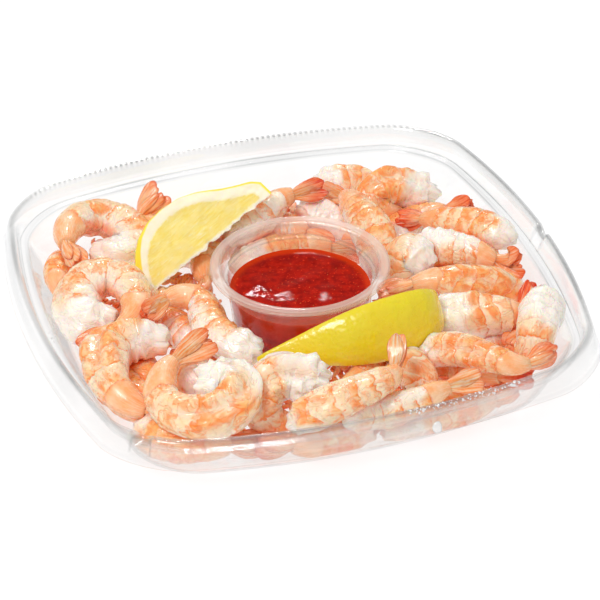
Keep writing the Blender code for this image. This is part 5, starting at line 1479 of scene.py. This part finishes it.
def shred_material():
    p = Paint("shrimp_shreds")
    coord = p.attr("coord", "Vector")
    mottle = p.noise(coord, 3.0, 2.0)
    pale = p.mix(p.ramp(mottle, 0.35, 0.65), (1.0, 0.70, 0.48), (1.0, 0.86, 0.72))
    deep = p.mix(p.ramp(mottle, 0.35, 0.65), (0.98, 0.17, 0.035), (1.0, 0.40, 0.14))
    s = p.principled(Base_Color=p.mix(p.attr("red"), pale, deep), Roughness=p.ramp(mottle, 0.3, 0.7, 0.2, 0.34), Normal=p.bump(p.noise(coord, 9.0, 2.0), 0.0005, 0.5), Subsurface_Weight=0.35, Subsurface_Scale=0.003, Coat_Weight=0.3, Coat_Roughness=0.1)
    s.inputs["Subsurface Radius"].default_value = (1.0, 0.35, 0.15)
    return p.finish(s.outputs[0])


# ---------------------------------------------------------------- water on the tray
def make_drops(tray, mat):
    """Water: one large bead on the rim at the front, and many tiny ones on the front wall and a few on the left."""
    tree = BVHTree.FromPolygons([v.co[:] for v in tray.data.vertices], [p.vertices[:] for p in tray.data.polygons])
    places = [(437.5, 427.5, 0.0023, 0.55)]
    for k in range(230):
        r = lattice(np.array([k, k, k, k]), np.array([1, 2, 3, 4]), np.array([9, 9, 9, 9]), 6) * 0.5 + 0.5
        across_px = 404 + 122 * float(r[0])
        down_px = 411 - (across_px - 404) * 0.27 + 14 * (float(r[1]) - 0.5)
        places.append((across_px, down_px, 0.00022 + 0.00040 * float(r[2]) ** 3, 0.6))
    for k in range(60):
        r = lattice(np.array([k, k, k]), np.array([5, 6, 7]), np.array([2, 2, 2]), 8) * 0.5 + 0.5
        places.append((47 + 9 * float(r[0]) + (k % 30) * 0.2, 292 + 52 * float(r[1]), 0.00020 + 0.00025 * float(r[2]) ** 2, 0.6))
    verts, faces = [], []
    ring, steps = 12, 6
    for x, y, size, flat in places:
        aim = spot(x, y, 0.0) - EYE
        aim /= np.linalg.norm(aim)
        hit, normal, _, _ = tree.ray_cast(Vector(EYE), Vector(aim))
        if hit is None:
            continue
        n = np.array(normal)
        if n @ aim > 0:
            n = -n
        hit = np.array(hit) - n * size * 0.06
        e1 = np.cross(n, [0.3, 0.2, 0.93])
        e1 /= np.linalg.norm(e1)
        e2 = np.cross(n, e1)
        first = len(verts)
        for k in range(steps):
            lift = math.sin(k / steps * math.pi / 2) * size * flat
            wide = math.cos(k / steps * math.pi / 2) * size
            for j in range(ring):
                a = 2 * math.pi * j / ring
                wobble = 1 + 0.12 * math.sin(2 * a + x) + 0.06 * math.sin(3 * a + y)
                verts.append(hit + e1 * wide * wobble * math.cos(a) + e2 * wide * wobble * math.sin(a) + n * lift)
        verts.append(hit)
        verts.append(hit + n * size * flat)
        faces += tube_faces(steps, ring, start=first)
    v = np.array(verts)
    return piece("water_drops", v, faces, [mat], sharp=70)


# ---------------------------------------------------------------- the scene
def set_stage():
    scene = bpy.context.scene
    scene.view_settings.view_transform = "Standard"
    scene.view_settings.look = "None"
    scene.cycles.max_bounces = 16
    scene.cycles.diffuse_bounces = 12
    scene.cycles.transparent_max_bounces = 32
    scene.cycles.use_denoising = True
    world = bpy.data.worlds.new("studio")
    scene.world = world
    world.use_nodes = True
    tree = world.node_tree
    ground = tree.nodes["Background"]
    ground.inputs["Color"].default_value = (1.0, 1.0, 1.0, 1.0)
    path, level = tree.nodes.new("ShaderNodeLightPath"), tree.nodes.new("ShaderNodeMapRange")
    level.inputs["To Min"].default_value = 0.72
    level.inputs["To Max"].default_value = 0.32
    tree.links.new(path.outputs["Is Glossy Ray"], level.inputs["Value"])
    tree.links.new(level.outputs["Result"], ground.inputs["Strength"])

    def lamp(name, place, aim, size, power, colour=(1, 1, 1)):
        data = bpy.data.lights.new(name, "AREA")
        data.shape = "RECTANGLE"
        data.size, data.size_y = size
        data.energy = power
        data.color = colour
        obj = bpy.data.objects.new(name, data)
        scene.collection.objects.link(obj)
        obj.location = place
        obj.rotation_mode = "QUATERNION"
        obj.rotation_quaternion = (Vector(aim) - Vector(place)).to_track_quat("-Z", "Y")
        return obj

    lamp("key", (-0.60, -0.45, 1.15), (0, 0, 0.02), (0.38, 0.38), 7.5)
    lamp("back", (0.24, 0.90, 0.92), (0, 0, 0.02), (0.12, 0.07), 2.8)
    floor_mat = Paint("pale_floor")
    at = floor_mat.place()
    tone = floor_mat.mix(floor_mat.noise(at, 3.0, 2.0), (0.22, 0.22, 0.22), (0.24, 0.24, 0.24))
    s = floor_mat.principled(Base_Color=tone, Roughness=0.8, Specular_IOR_Level=0.1, Emission_Color=(1.0, 1.0, 1.0), Emission_Strength=0.82)
    floor_mat.finish(s.outputs[0])
    size, n = 6.0, 24
    g = np.linspace(-size, size, n)
    X, Y = np.meshgrid(g, g)
    verts = np.column_stack([X.ravel(), Y.ravel(), np.full(n * n, -0.0002)])
    faces = [(i * n + j, i * n + j + 1, (i + 1) * n + j + 1, (i + 1) * n + j) for i in range(n - 1) for j in range(n - 1)]
    floor = piece("floor", verts, faces, [floor_mat.mat])

    data = bpy.data.cameras.new("camera")
    data.sensor_width = 36.0
    data.lens = LOOK_ZOOM * 36.0 / 600.0
    data.clip_start, data.clip_end = 0.05, 30.0
    cam = bpy.data.objects.new("camera", data)
    scene.collection.objects.link(cam)
    rows = np.eye(4)
    rows[:3, 0], rows[:3, 1], rows[:3, 2], rows[:3, 3] = RIGHT, UPWARD, BACK, EYE
    cam.matrix_world = Matrix(rows.tolist())
    scene.camera = cam


def main():
    for name in ("Cube", "Light", "Camera"):
        if name in bpy.data.objects:
            bpy.data.objects.remove(bpy.data.objects[name], do_unlink=True)
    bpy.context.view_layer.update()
    set_stage()

    def use(obj, node):
        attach(obj, "root")
        if node:
            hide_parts(node)

    clear = sheet_material("clear_plastic_sheet", (0.997, 0.997, 0.996), (0.80, 0.81, 0.815), (1, 1, 1), (0.0, 0.02), 0.04, wave=0.10, milk_and_reflected_colour=(0.95, 0.95, 0.93), veil=True, dashes=True)
    # painted reflection: the cup's milky haze is tinted pink for the shrimps seen through and in it
    milky = sheet_material("milky_plastic", (0.995, 0.98, 0.97), (0.80, 0.70, 0.67), (1, 1, 1), (0.0, 0.05), 0.08, shine=0.006, milk_and_reflected_colour=(1.0, 0.79, 0.68), veil=True)
    tray = make_tray(clear)
    use(tray, "tray")
    use(make_cup(milky), "sauce_cup")
    use(make_sauce(sauce_material()), "cocktail_sauce")
    rind, cut = lemon_rind_material(), lemon_cut_material()
    use(make_wedge("lemon_wedge_back", "lemon_back", rind, cut, 21), "lemon_wedge_back")
    use(make_wedge("lemon_wedge_front", "lemon_front", rind, cut, 34), "lemon_wedge_front")
    flesh, shell = flesh_material(), shell_material()
    bodies = {name: body_of(name, line) for name, line in settle().items()}
    for name in SHRIMPS:
        use(make_shrimp(name, bodies, [flesh, shell]), name)
    use(make_scraps(shred_material()), None)
    use(make_drops(tray, drop_material()), None)

    bpy.context.view_layer.update()


main()
